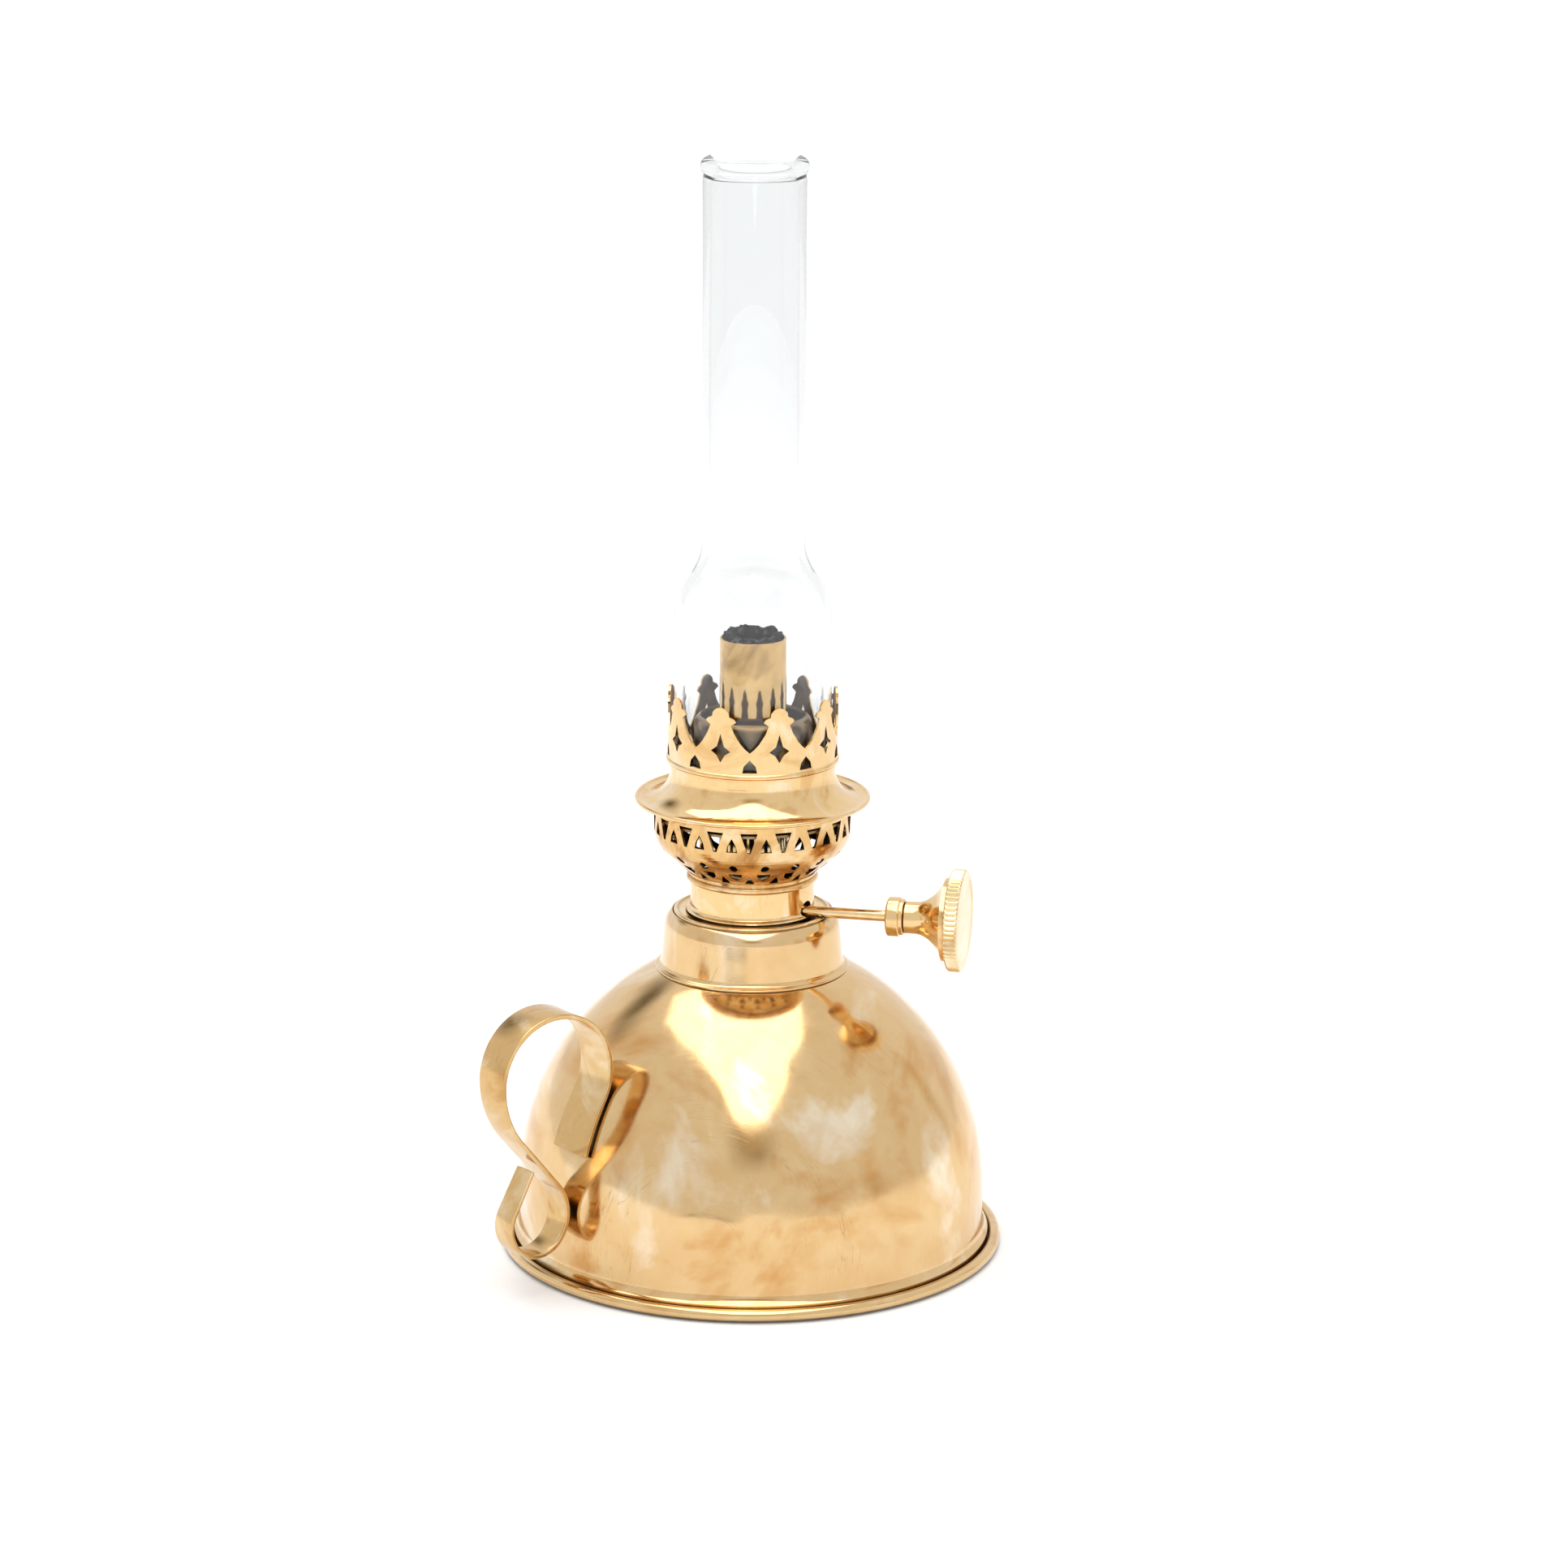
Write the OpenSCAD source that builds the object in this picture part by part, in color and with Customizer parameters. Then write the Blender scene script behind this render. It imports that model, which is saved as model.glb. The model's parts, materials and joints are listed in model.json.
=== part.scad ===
// Small round-wick oil lamp: spun brass font, screw-in burner with a pierced air
// basket, lift-off gallery and chimney, wick winder, and a bent strip handle.
// Origin: centre of the underside. +Z up, winder shaft along +X.

/* [Font] */
// Outer diameter over the rolled base rim
base_d = 103.5; // [85:0.5:125]
// Thickness of the rolled base rim
rim_bead_d = 2.5; // [1.5:0.1:3.5]
// Width of the rim outside the font's upright wall
rim_w = 3.75; // [3:0.05:5]
// Height at which the wall starts to curve in
wall_h = 12.2; // [8:0.2:20]
// Height of the dome where the collar's foot stands
dome_h = 58.6; // [48:0.2:72]
// Sheet thickness of the font
font_wall = 0.8; // [0.5:0.1:1.5]
// Thickness of the bottom pan
pan_t = 0.7; // [0.5:0.1:1.5]

/* [Collar] */
// Width of the collar's shoulder outside the burner's neck
collar_w = 5.35; // [4.6:0.05:7]
// Widening of the collar's side from shoulder to foot
collar_taper = 0.6; // [0:0.1:1.2]
// Flare of the collar's foot
collar_flare = 1.2; // [0.8:0.1:2.5]
// Height of the collar over its foot
collar_h = 11.9; // [9:0.1:16]

/* [Handle] */
// Direction of the handle, from the winder shaft
handle_angle = 230; // [160:1:250]
// Height of the strip's soldered end
handle_z = 28; // [22:0.5:36]
// Length of strip soldered to the dome
handle_tail = 12.2; // [8:0.2:16]
// Radius of the finger ring, to the middle of the strip
handle_ring_r = 12.8; // [10:0.2:16]
// Clearance between the font's wall and the strip's lower bend
handle_clear = 0.67; // [0.4:0.01:3]
// Height where the strip comes closest to the font
handle_low = 16.5; // [14:0.5:20]
// Radius of the curl at the free end
curl_r = 6.5; // [5:0.1:7]
// Length of the free end past the curl
curl_end = 9.5; // [5:0.5:12]
// Strip width where it is soldered on
strip_w_tail = 10.8; // [7:0.1:14]
// Strip width at its free end
strip_w_end = 5; // [3:0.1:8]
// Strip thickness
strip_t = 1; // [0.6:0.1:1.6]

/* [Burner] */
// Outer diameter of the burner neck
neck_d = 25.3; // [22:0.1:27]
// Height of the neck over the lip
neck_h = 6.6; // [5.5:0.1:10]
// Outer diameter of the basket at its rim
basket_d = 40.2; // [36:0.2:46]
// Height of the basket
basket_h = 16.5; // [13:0.2:22]
// Number of pierced units round the basket
basket_units = 18; // [12:1:20]
// Height of the deflector's top over the basket rim
deflector_h = 18.6; // [14:0.2:22]
// Space between the deflector and the chimney
air_space = 2.7; // [2:0.1:4]
// Sheet thickness of the burner's pressings
sheet = 0.5; // [0.4:0.05:0.8]

/* [Wick and winder] */
// Outer diameter of the wick tube
tube_d = 13.5; // [12:0.1:15]
// Height of the tube's rim over the basket rim
tube_rise = 34.2; // [28:0.2:42]
// Wick standing over the tube's rim
wick_proud = 1.2; // [0.4:0.1:3]
// Distance of the winder shaft from the lamp's axis
shaft_offset = 3.6; // [3.2:0.1:4.2]
// Diameter of the winder shaft
shaft_d = 2.3; // [1.8:0.1:2.6]
// Distance of the knob's face from the lamp's axis
knob_reach = 44.8; // [38:0.2:55]
// Diameter of the knurled knob
knob_d = 20.8; // [16:0.2:24]
// Number of ridges round the knob
knob_ridges = 60; // [36:2:80]

/* [Gallery and chimney] */
// Width of the gallery's flange outside the basket
flange_w = 3.9; // [3:0.1:6]
// Height of the gallery from the flange to the crown's bead
gallery_h = 8.6; // [6.5:0.1:12]
// Height of the crown over its bead
crown_h = 14.2; // [12:0.1:18]
// Number of prongs
prongs = 9; // [6:1:10]
// Outer diameter of the chimney's foot
glass_foot_d = 32.2; // [31:0.1:32.6]
// Outer diameter of the chimney's tube
glass_tube_d = 21; // [19:0.1:24]
// Height of the chimney
glass_h = 123.4; // [100:0.5:150]
// Height of the chimney's shoulder over its foot
shoulder_h = 31; // [26:0.5:45]
// Height over which the chimney narrows above its shoulder
shoulder_fall = 15.5; // [10:0.5:25]
// Glass thickness
glass_t = 1.6; // [1.2:0.1:2.2]

/* [Hidden] */
$fn = 96;
eps = 0.01;
gap = 0.1;          // between pieces that are fixed or seated on each other
slip = 0.2;         // radial clearance between pieces that slide or turn
run = 0.05;         // radial clearance of the winder shaft in its bearings
cut = 1;            // overshoot of a cutting shape

base_r = base_d / 2;
font_r = base_r - rim_w;
bead_r = rim_bead_d / 2;
foot_r = base_r - rim_bead_d - gap;
neck_r = neck_d / 2;
collar_r = neck_r + collar_w;
collar_side_r = collar_r + collar_taper;
collar_foot_r = collar_side_r + collar_flare;
// the dome is one arc, tangent to the upright wall, through the collar's foot
dome_in = font_r - collar_foot_r;
dome_up = dome_h - wall_h;
dome_r = (pow(dome_in, 2) + pow(dome_up, 2)) / (2 * dome_in);
dome_x = font_r - dome_r;

collar_z = dome_h + gap;
collar_top = collar_z + collar_h;
collar_round = 4;   // radius of the collar's shoulder
collar_mouth = 1.7; // width of the shoulder, from the collar's side to its mouth
collar_wall = 1.2;
mouth_h = 1;        // depth of the collar's mouth round the lip
lip_bead = 0.55;    // radius of the bead round the burner's lip
lip_r = collar_r - collar_mouth - slip;
lip_z = collar_top - 0.35;
lip_top = lip_z + 0.25;
sleeve_r = lip_r - 1.1;
sleeve_wall = 1.2;
insert_z = dome_height(sleeve_r) + gap;
insert_top = lip_z - lip_bead - gap;

neck_z = lip_top + 2 * gap;
neck_top = neck_z + neck_h;
floor_z = neck_z - 4.6;
basket_r = basket_d / 2;
basket_z = neck_top;
basket_top = basket_z + basket_h;
basket_bead = 0.75;
band_h = 1.7;       // plain band at the basket's rim
deflector_r = (glass_foot_d - 2 * glass_t) / 2 - air_space;
deflector_z = basket_top - 2.9;
deflector_top = basket_top + deflector_h;

tube_r = tube_d / 2;
tube_wall = 0.45;
tube_top = basket_top + tube_rise;
tube_z = floor_z - 1.5;
wick_r = tube_r - tube_wall - slip;
wick_in = wick_r - 1.4;
draught_r = wick_in - slip;
draught_wall = 0.4;
wick_up = 8;        // how far the wick winds up from rest
wick_down = 6;      // and down
shaft_r = shaft_d / 2;
shaft_z = neck_z + shaft_r + 0.2;
wheel_r = shaft_offset - 1.2;
ear_x = tube_r + 0.25;
ear_t = 1.1;
wick_front = -shaft_offset + wheel_r + gap;
wick_back = wick_front + 3;
wick_z = 10;
flat_top = shaft_z + wheel_r + wick_up + 0.4;
round_z = flat_top + 2;
draught_z = round_z + wick_up + 1;
duct_h = 4.8;
duct_w = 5;
duct_wall = 0.4;
wick_gap_w = duct_w + 2 * duct_wall + 0.6;
wick_gap_top = draught_z + duct_h + duct_wall + wick_down + 1;

flange_r = basket_r + flange_w;
gallery_z = basket_top + gap;
gallery_neck_r = glass_foot_d / 2 + 0.7;
crown_z = gallery_z + gallery_h + 0.4;
crown_r = gallery_neck_r + sheet;
crown_bead = 0.6;
ledge_z = crown_z - 1.9;
plug_r = basket_r - sheet - 0.15;
glass_z = ledge_z + sheet + gap;
glass_top = glass_z + glass_h;
glass_bead = 1.75;
glass_foot_r = glass_foot_d / 2;
glass_tube_r = glass_tube_d / 2;

function dome_height(r) = wall_h + sqrt(pow(dome_r, 2) - pow(r - dome_x, 2));
function arc(c, r, a0, a1, n) =
    [for (i = [0 : n]) [c[0] + r * cos(a0 + (a1 - a0) * i / n), c[1] + r * sin(a0 + (a1 - a0) * i / n)]];
// wall of even thickness t inside an outline that runs from the bottom up
function thick(line, t) = concat(line, [for (i = [len(line) - 1 : -1 : 0]) line[i] - [t, 0]]);

// ---- handle path: a list of bends [radius, turn], where radius 0 is a straight of that length
strip_gap = 0.15;       // solder between the strip and the dome
path_r = dome_r + strip_gap + strip_t / 2;
handle_start = asin((handle_z - wall_h) / path_r);  // angle on the dome's arc
tail_turn = handle_tail / path_r * 180 / PI;
// the strip leaves the ring straight down, and an S of two bends and a straight brings it to the font
ring_c = [dome_x + (path_r + handle_ring_r) * cos(handle_start + tail_turn),
    wall_h + (path_r + handle_ring_r) * sin(handle_start + tail_turn)];
drop = ring_c[1] - handle_low;
out_r = drop * 0.65;
in_r = drop * 0.31;
out_c = [ring_c[0] + handle_ring_r - out_r, ring_c[1]];
in_c = [font_r + handle_clear + strip_t / 2 + in_r, handle_low];
s_line = in_c - out_c;
s_heading = atan2(s_line[1], s_line[0]) - asin((out_r + in_r) / norm(s_line));
s_length = sqrt(pow(norm(s_line), 2) - pow(out_r + in_r, 2));
curl_heading = -56;     // heading where the curl starts
curl_turn = 175;
bends = [
    [path_r, tail_turn],
    [handle_ring_r, -180 - handle_start - tail_turn],
    [out_r, s_heading + 90],
    [0, s_length],
    [in_r, curl_heading - s_heading],
    [curl_r, curl_turn],
    [0, curl_end]
];
bend_steps = 10;
function bend_turn(b) = b[0] == 0 ? 0 : b[1];
function bend_length(b) = b[0] == 0 ? b[1] : b[0] * abs(b[1]) * PI / 180;
// chord step along one bend, from point p and heading a; returns [point, heading, length so far]
function step(s, b) =
    let (turn = bend_turn(b) / bend_steps,
         chord = b[0] == 0 ? b[1] / bend_steps : 2 * b[0] * sin(abs(turn) / 2),
         a = s[1] + turn / 2)
    [s[0] + chord * [cos(a), sin(a)], s[1] + turn, s[2] + bend_length(b) / bend_steps];
function trace(s, k) =
    k == len(bends) * bend_steps ? [s] : concat([s], trace(step(s, bends[floor(k / bend_steps)]), k + 1));
strip_start = [dome_x + path_r * cos(handle_start), wall_h + path_r * sin(handle_start)];
strip_path = trace([strip_start, 90 + handle_start, 0], 0);
strip_length = strip_path[len(strip_path) - 1][2];

module ring(r_out, r_in, h) {
    difference() {
        cylinder(r = r_out, h = h);
        translate([0, 0, -cut])
            cylinder(r = r_in, h = h + 2 * cut);
    }
}

module lathe(points) {
    rotate_extrude()
        polygon(points);
}

// a round bead of radius b whose outermost point lies at radius r
module bead(r, b) {
    rotate_extrude()
        translate([r - b, 0])
            circle(r = b, $fn = 32);
}

module base_pan() {
    color("goldenrod")
        union() {
            cylinder(r = base_r - bead_r, h = pan_t);
            translate([0, 0, bead_r])
                bead(base_r, bead_r);
        }
}

// the space under the font's outer surface, shrunk by t
module font_body(t) {
    rotate_extrude() {
        intersection() {
            translate([dome_x, wall_h])
                circle(r = dome_r - t, $fn = 180);
            translate([0, wall_h - eps])
                square([font_r, dome_r]);
        }
        square([font_r - t, wall_h]);
    }
}

module font_shell() {
    foot_z = pan_t + gap;
    fillet = 2.4;
    fillet_x = font_r + fillet;
    fillet_z = foot_z + 4;
    start = 180 + acos((fillet_x - foot_r) / fillet);
    color("gold")
        difference() {
            union() {
                font_body(0);
                lathe(concat([[font_r - font_wall, fillet_z], [font_r - font_wall, foot_z],
                    [foot_r, foot_z]], arc([fillet_x, fillet_z], fillet, start, 180, 8)));
            }
            font_body(font_wall);
            translate([0, 0, -cut])
                cylinder(r = font_r + cut, h = foot_z + cut);
            cylinder(r = sleeve_r + 0.1, h = dome_h + dome_r);
        }
}

module font_collar() {
    foot_edge = 0.6;
    hollow = collar_flare;          // radius of the hollow above the foot's edge
    lean = 4;                       // the side leans this far from upright
    in_r = collar_r - collar_wall;
    turn = acos(1 - collar_mouth / collar_round);
    shoulder_z = collar_top - collar_round * sin(turn);
    line = concat([[collar_foot_r, collar_z], [collar_foot_r, collar_z + foot_edge]],
        arc([collar_foot_r, collar_z + foot_edge + hollow], hollow, 258, 180 + lean, 6),
        arc([collar_r - collar_round, shoulder_z], collar_round, lean, turn, 8));
    color("gold")
        lathe(concat(line, [[lip_r + slip, collar_top], [lip_r + slip, collar_top - mouth_h],
            [in_r, collar_top - collar_mouth], [in_r, dome_height(in_r) + gap]]));
}

// liner soldered inside the collar, with the thread's seat
module collar_insert() {
    in_r = sleeve_r + slip;
    out_r = collar_r - collar_wall - slip;
    shoulder_z = collar_top - collar_mouth - gap;
    color("darkgoldenrod")
        lathe([[in_r, insert_z], [out_r, insert_z], [out_r, shoulder_z],
            [lip_r - slip, insert_top], [in_r, insert_top]]);
}

module handle_strip() {
    n = len(strip_path);
    function width(s) = strip_w_tail + (strip_w_end - strip_w_tail) * s / strip_length;
    function corner(s, side, face) =
        let (w = width(s[2]) / 2 * side, t = strip_t / 2 * face)
        [s[0][0] - t * sin(s[1]), w, s[0][1] + t * cos(s[1])];
    points = [for (s = strip_path) for (q = [[1, 1], [1, -1], [-1, -1], [-1, 1]]) corner(s, q[0], q[1])];
    sides = [for (i = [0 : n - 2]) for (k = [0 : 3])
        [4 * i + k, 4 * i + (k + 1) % 4, 4 * i + 4 + (k + 1) % 4, 4 * i + 4 + k]];
    last = 4 * (n - 1);
    color("gold")
        rotate([0, 0, handle_angle])
            polyhedron(points = points,
                faces = concat(sides, [[3, 2, 1, 0], [last, last + 1, last + 2, last + 3]]));
}

// a thin pad that follows the dome under the strip's tail
module handle_solder() {
    half = asin(strip_w_tail / 2 / font_r);
    from = handle_start + tail_turn * 0.12;
    to = handle_start + tail_turn * 0.9;
    color("silver")
        rotate([0, 0, handle_angle - half])
            rotate_extrude(angle = 2 * half)
                polygon(concat(arc([dome_x, wall_h], dome_r + 0.03, from, to, 8),
                    arc([dome_x, wall_h], dome_r + strip_gap - 0.01, to, from, 8)));
}

module burner_sleeve() {
    z = insert_z + 0.4;
    color("darkgoldenrod")
        translate([0, 0, z])
            ring(sleeve_r, sleeve_r - sleeve_wall, insert_top - z);
}

module burner_lip() {
    plate_z = lip_z - lip_bead;
    color("gold")
        difference() {
            union() {
                translate([0, 0, plate_z])
                    cylinder(r = lip_r - lip_bead, h = lip_top - plate_z);
                translate([0, 0, lip_z])
                    bead(lip_r, lip_bead);
            }
            cylinder(r = neck_r + slip, h = collar_top + dome_h);
        }
}

module burner_floor() {
    color("darkgoldenrod")
        translate([0, 0, floor_z])
            ring(neck_r - sheet - gap, tube_r + gap, 0.8);
}

module burner_neck() {
    hole_r = shaft_r + 0.95;
    flare = 0.9;
    color("gold")
        difference() {
            lathe(thick(concat([[neck_r, floor_z], [neck_r, neck_z], [neck_r + flare, neck_z],
                [neck_r + flare, neck_z + 0.35]], arc([neck_r + flare, neck_z + flare + 0.35], flare, 250, 180, 5),
                [[neck_r, neck_top - gap]]), sheet));
            cylinder(r = neck_r - sheet, h = neck_top + cut);
            translate([0, -shaft_offset, shaft_z])
                rotate([0, 90, 0])
                    cylinder(r = hole_r, h = neck_r + flare + cut);
        }
}

// two ears on a common foot carry the winder shaft inside the neck
module winder_bracket() {
    ear_w = shaft_d + 2.1;
    foot_z = floor_z + 0.8 + gap;
    color("darkgoldenrod")
        difference() {
            for (side = [-1, 1])
                translate([side * (ear_x + ear_t / 2) - ear_t / 2, -shaft_offset - ear_w / 2, foot_z])
                    cube([ear_t, ear_w, shaft_z - foot_z + ear_w / 2]);
            translate([-ear_x - 2 * ear_t, -shaft_offset, shaft_z])
                rotate([0, 90, 0])
                    cylinder(r = shaft_r + run, h = 2 * ear_x + 4 * ear_t);
        }
}

module pierce(r, angle, z) {
    rotate([0, 0, angle])
        translate([r, 0, z])
            rotate([90, 0, 90])
                linear_extrude(height = 10, center = true)
                    children();
}

module air_basket() {
    seat_r = neck_r + 0.25;
    round_r = 6.2;
    knee_z = basket_top - 5.4;
    knee = [basket_r - round_r, knee_z];
    lean = 40;      // the bowl's cone leans this far from level below the knee
    line = concat([[seat_r, basket_z + 0.9], [seat_r + 0.5, basket_z + 2.2]],
        arc(knee, round_r, -lean, 0, 7), [[basket_r, basket_top]]);
    pitch = 360 / basket_units;
    tall = basket_h / 16;
    wide = basket_r * sin(pitch / 2) / (20.1 * sin(10));
    color("goldenrod")
        difference() {
            union() {
                lathe(thick(line, sheet * 1.2));
                translate([0, 0, basket_z + basket_bead])
                    ring(seat_r + 0.2, neck_r - sheet, 0.5);
                translate([0, 0, basket_z + basket_bead])
                    bead(seat_r + 0.6, basket_bead);
            }
            translate([0, 0, basket_z - cut])
                cylinder(r = neck_r - sheet, h = 4 * cut);
            for (i = [0 : basket_units - 1]) {
                // tall wedge, point down, between the arches
                pierce(basket_r, pitch * i, basket_top - band_h)
                    scale([wide, wide])
                        polygon([[-1.75, 0], [1.75, 0], [0.35, -4.1], [-0.35, -4.1]]);
                // pointed arch
                pierce(basket_r, pitch * (i + 0.5), basket_top - band_h - 4)
                    scale([wide, wide])
                        polygon([[-1.15, 0], [1.15, 0], [0.9, 1.3], [0, 2.9], [-0.9, 1.3]]);
                // dot under the arch
                pierce(basket_r - 3, pitch * (i + 0.5), basket_top - 9.3 * tall)
                    circle(r = 0.85, $fn = 16);
                // half round and small arrow near the foot
                pierce(basket_r - 5, pitch * (i + 0.5), basket_top - 11.6 * tall)
                    scale([wide, wide])
                        polygon([[-1.4, 0.8], [1.4, 0.8], [1.1, -0.3], [0, -1.1], [-1.1, -0.3]]);
                pierce(basket_r - 6, pitch * i, basket_top - 12.6 * tall)
                    scale([wide, wide])
                        polygon([[0, 1.1], [1, -0.9], [-1, -0.9]]);
            }
        }
}

// air plate with a ring of holes and the upright ring round the wick tube
module deflector_ring() {
    plate_r = basket_r - 1.2 * sheet - gap;
    round_r = 1.5;
    holes = 16;
    line = concat([[deflector_r, deflector_z]],
        arc([deflector_r - round_r, deflector_top - round_r], round_r, 0, 80, 6));
    color("goldenrod")
        difference() {
            union() {
                lathe(thick(line, sheet));
                translate([0, 0, deflector_z])
                    ring(plate_r, deflector_r - sheet, sheet);
            }
            for (i = [0 : holes - 1])
                rotate([0, 0, 360 / holes * i])
                    translate([(plate_r + deflector_r) / 2, 0, deflector_z - cut])
                        cylinder(r = 1.4, h = 3 * cut, $fn = 24);
        }
}

module wick_tube() {
    window_top = shaft_z + wheel_r + 0.6;
    window_z = shaft_z - wheel_r - 0.6;
    color("khaki")
        difference() {
            translate([0, 0, tube_z])
                ring(tube_r, tube_r - tube_wall, tube_top - tube_z);
            // front window for the shaft and its wheels
            translate([-tube_r - cut, -tube_r - cut, window_z])
                cube([2 * tube_r + 2 * cut, tube_r + cut + wick_front - 0.4, window_top - window_z]);
            // window for the air duct
            translate([-duct_w / 2 - duct_wall - gap, 0, draught_z - gap])
                cube([duct_w + 2 * duct_wall + 2 * gap, tube_r + cut, duct_h + 2 * gap]);
        }
}

module draught_tube() {
    color("khaki")
        difference() {
            union() {
                translate([0, 0, draught_z])
                    ring(draught_r, draught_r - draught_wall, tube_top - 0.4 - draught_z);
                translate([0, 0, draught_z])
                    cylinder(r = draught_r, h = draught_wall);
            }
            translate([-duct_w / 2 - duct_wall - gap, 0, draught_z + draught_wall + gap])
                cube([duct_w + 2 * duct_wall + 2 * gap, draught_r + cut, duct_h - draught_wall]);
        }
}

// short box that lets air from the basket into the draught tube
module air_duct() {
    near = draught_r * 0.8;
    h = duct_h - draught_wall - 2 * gap;
    color("khaki")
        difference() {
            translate([-duct_w / 2 - duct_wall, near, draught_z + draught_wall + 2 * gap])
                cube([duct_w + 2 * duct_wall, tube_r + 0.3 - near, h]);
            translate([-duct_w / 2, near - cut, draught_z + 2 * draught_wall + 2 * gap])
                cube([duct_w, tube_r + 2 * cut, h - 2 * duct_wall]);
        }
}

// everything on the shaft is drawn with its axis along X
module on_shaft(x) {
    translate([x, -shaft_offset, shaft_z])
        rotate([0, 90, 0])
            children();
}

shaft_start = -ear_x - ear_t - 0.5;
shaft_end = knob_reach - 3.4;
ferrule_x = knob_reach - 15.9;
hub_x = ferrule_x + 3.6;
disc_t = 3;
disc_x = knob_reach - disc_t;

module winder_shaft() {
    color("goldenrod")
        on_shaft(shaft_start)
            cylinder(r = shaft_r, h = shaft_end - shaft_start);
}

module wick_wheels() {
    teeth = 9;
    wheel_t = 1;
    color("darkgoldenrod")
        for (side = [-1, 1])
            on_shaft(side * 2.6 - wheel_t / 2)
                difference() {
                    union() {
                        cylinder(r = wheel_r - 0.55, h = wheel_t);
                        for (i = [0 : teeth - 1])
                            rotate([0, 0, 360 / teeth * i])
                                linear_extrude(height = wheel_t)
                                    polygon([[0, -0.5], [wheel_r, -0.08], [wheel_r, 0.08], [0, 0.5]]);
                    }
                    translate([0, 0, -cut])
                        cylinder(r = shaft_r, h = wheel_t + 2 * cut);
                }
}

module knob_ferrule() {
    color("goldenrod")
        on_shaft(ferrule_x)
            ring(4.05, shaft_r, 3.5);
}

// trumpet between the ferrule and the knob's disc
module knob_hub() {
    throat = 3.3;
    mouth = knob_d / 2 - 1.8;
    length = disc_x - gap - hub_x;
    flare = length - 3;
    color("goldenrod")
        on_shaft(hub_x)
            lathe(concat([[shaft_r, 0], [throat, 0], [throat, 2]],
                [for (i = [1 : 8]) [throat + (mouth - throat) * pow(i / 8, 2.2), 2 + flare * i / 8]],
                [[mouth, length], [shaft_r, length]]));
}

module knob_disc() {
    ridge = 0.35;   // depth of the knurling
    r = knob_d / 2;
    outline = [for (i = [0 : 2 * knob_ridges - 1])
        (r - ridge * (i % 2)) * [cos(180 / knob_ridges * i), sin(180 / knob_ridges * i)]];
    color("palegoldenrod")
        on_shaft(disc_x)
            difference() {
                linear_extrude(height = disc_t)
                    polygon(outline);
                translate([0, 0, -cut])
                    cylinder(r = shaft_r, h = shaft_end - disc_x + gap + cut);
            }
}

module wick() {
    flat_w = 2 * sqrt(pow(wick_r, 2) - pow(max(abs(wick_front), wick_back), 2));
    color("dimgray")
        difference() {
            union() {
                translate([-flat_w / 2, wick_front, wick_z])
                    cube([flat_w, wick_back - wick_front, flat_top - wick_z]);
                hull() {
                    translate([-flat_w / 2, wick_front, flat_top - eps])
                        cube([flat_w, wick_back - wick_front, eps]);
                    translate([0, 0, round_z])
                        cylinder(r = wick_r, h = eps, $fn = 32);
                }
                translate([0, 0, round_z])
                    cylinder(r = wick_r, h = tube_top + wick_proud - round_z);
            }
            translate([0, 0, round_z + 2 * eps])
                cylinder(r = wick_in, h = tube_top + wick_proud);
            translate([-wick_gap_w / 2, 0, round_z + 2 * eps])
                cube([wick_gap_w, wick_r + cut, wick_gap_top - round_z]);
        }
}

module gallery_flange() {
    rim_z = 0.35;
    dish = 0.55;
    edge_r = flange_r - 0.6;
    neck_end = crown_z - 0.9;
    // the skirt is a hollow quarter between the flange and the neck
    hollow = [0.94 * (edge_r - gallery_neck_r), ledge_z - gallery_z - 0.9];
    centre = [gallery_neck_r, gallery_z + rim_z] + hollow;
    function skirt(t, a0, a1) = [for (q = arc([0, 0], 1, a0, a1, 8))
        centre + [q[0] * (hollow[0] + t), q[1] * (hollow[1] + t)]];
    line = concat([[edge_r, gallery_z + dish + rim_z]], skirt(0, 260, 180), [[gallery_neck_r, neck_end]]);
    under = concat([[gallery_neck_r - sheet, neck_end]], skirt(sheet, 180, 260),
        [[edge_r, gallery_z + dish + rim_z - sheet]]);
    color("goldenrod")
        union() {
            lathe(concat(line, under));
            translate([0, 0, gallery_z + dish + 0.1])
                bead(flange_r, 0.42);
            translate([0, 0, basket_top - 1.3])
                ring(plug_r, plug_r - 0.5, 1.75);
            translate([0, 0, basket_top + gap])
                ring(basket_r + 1.2, plug_r - 0.5, rim_z);
            translate([0, 0, ledge_z])
                ring(gallery_neck_r - 0.2, glass_foot_r - 2.6, sheet);
        }
}

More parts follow.
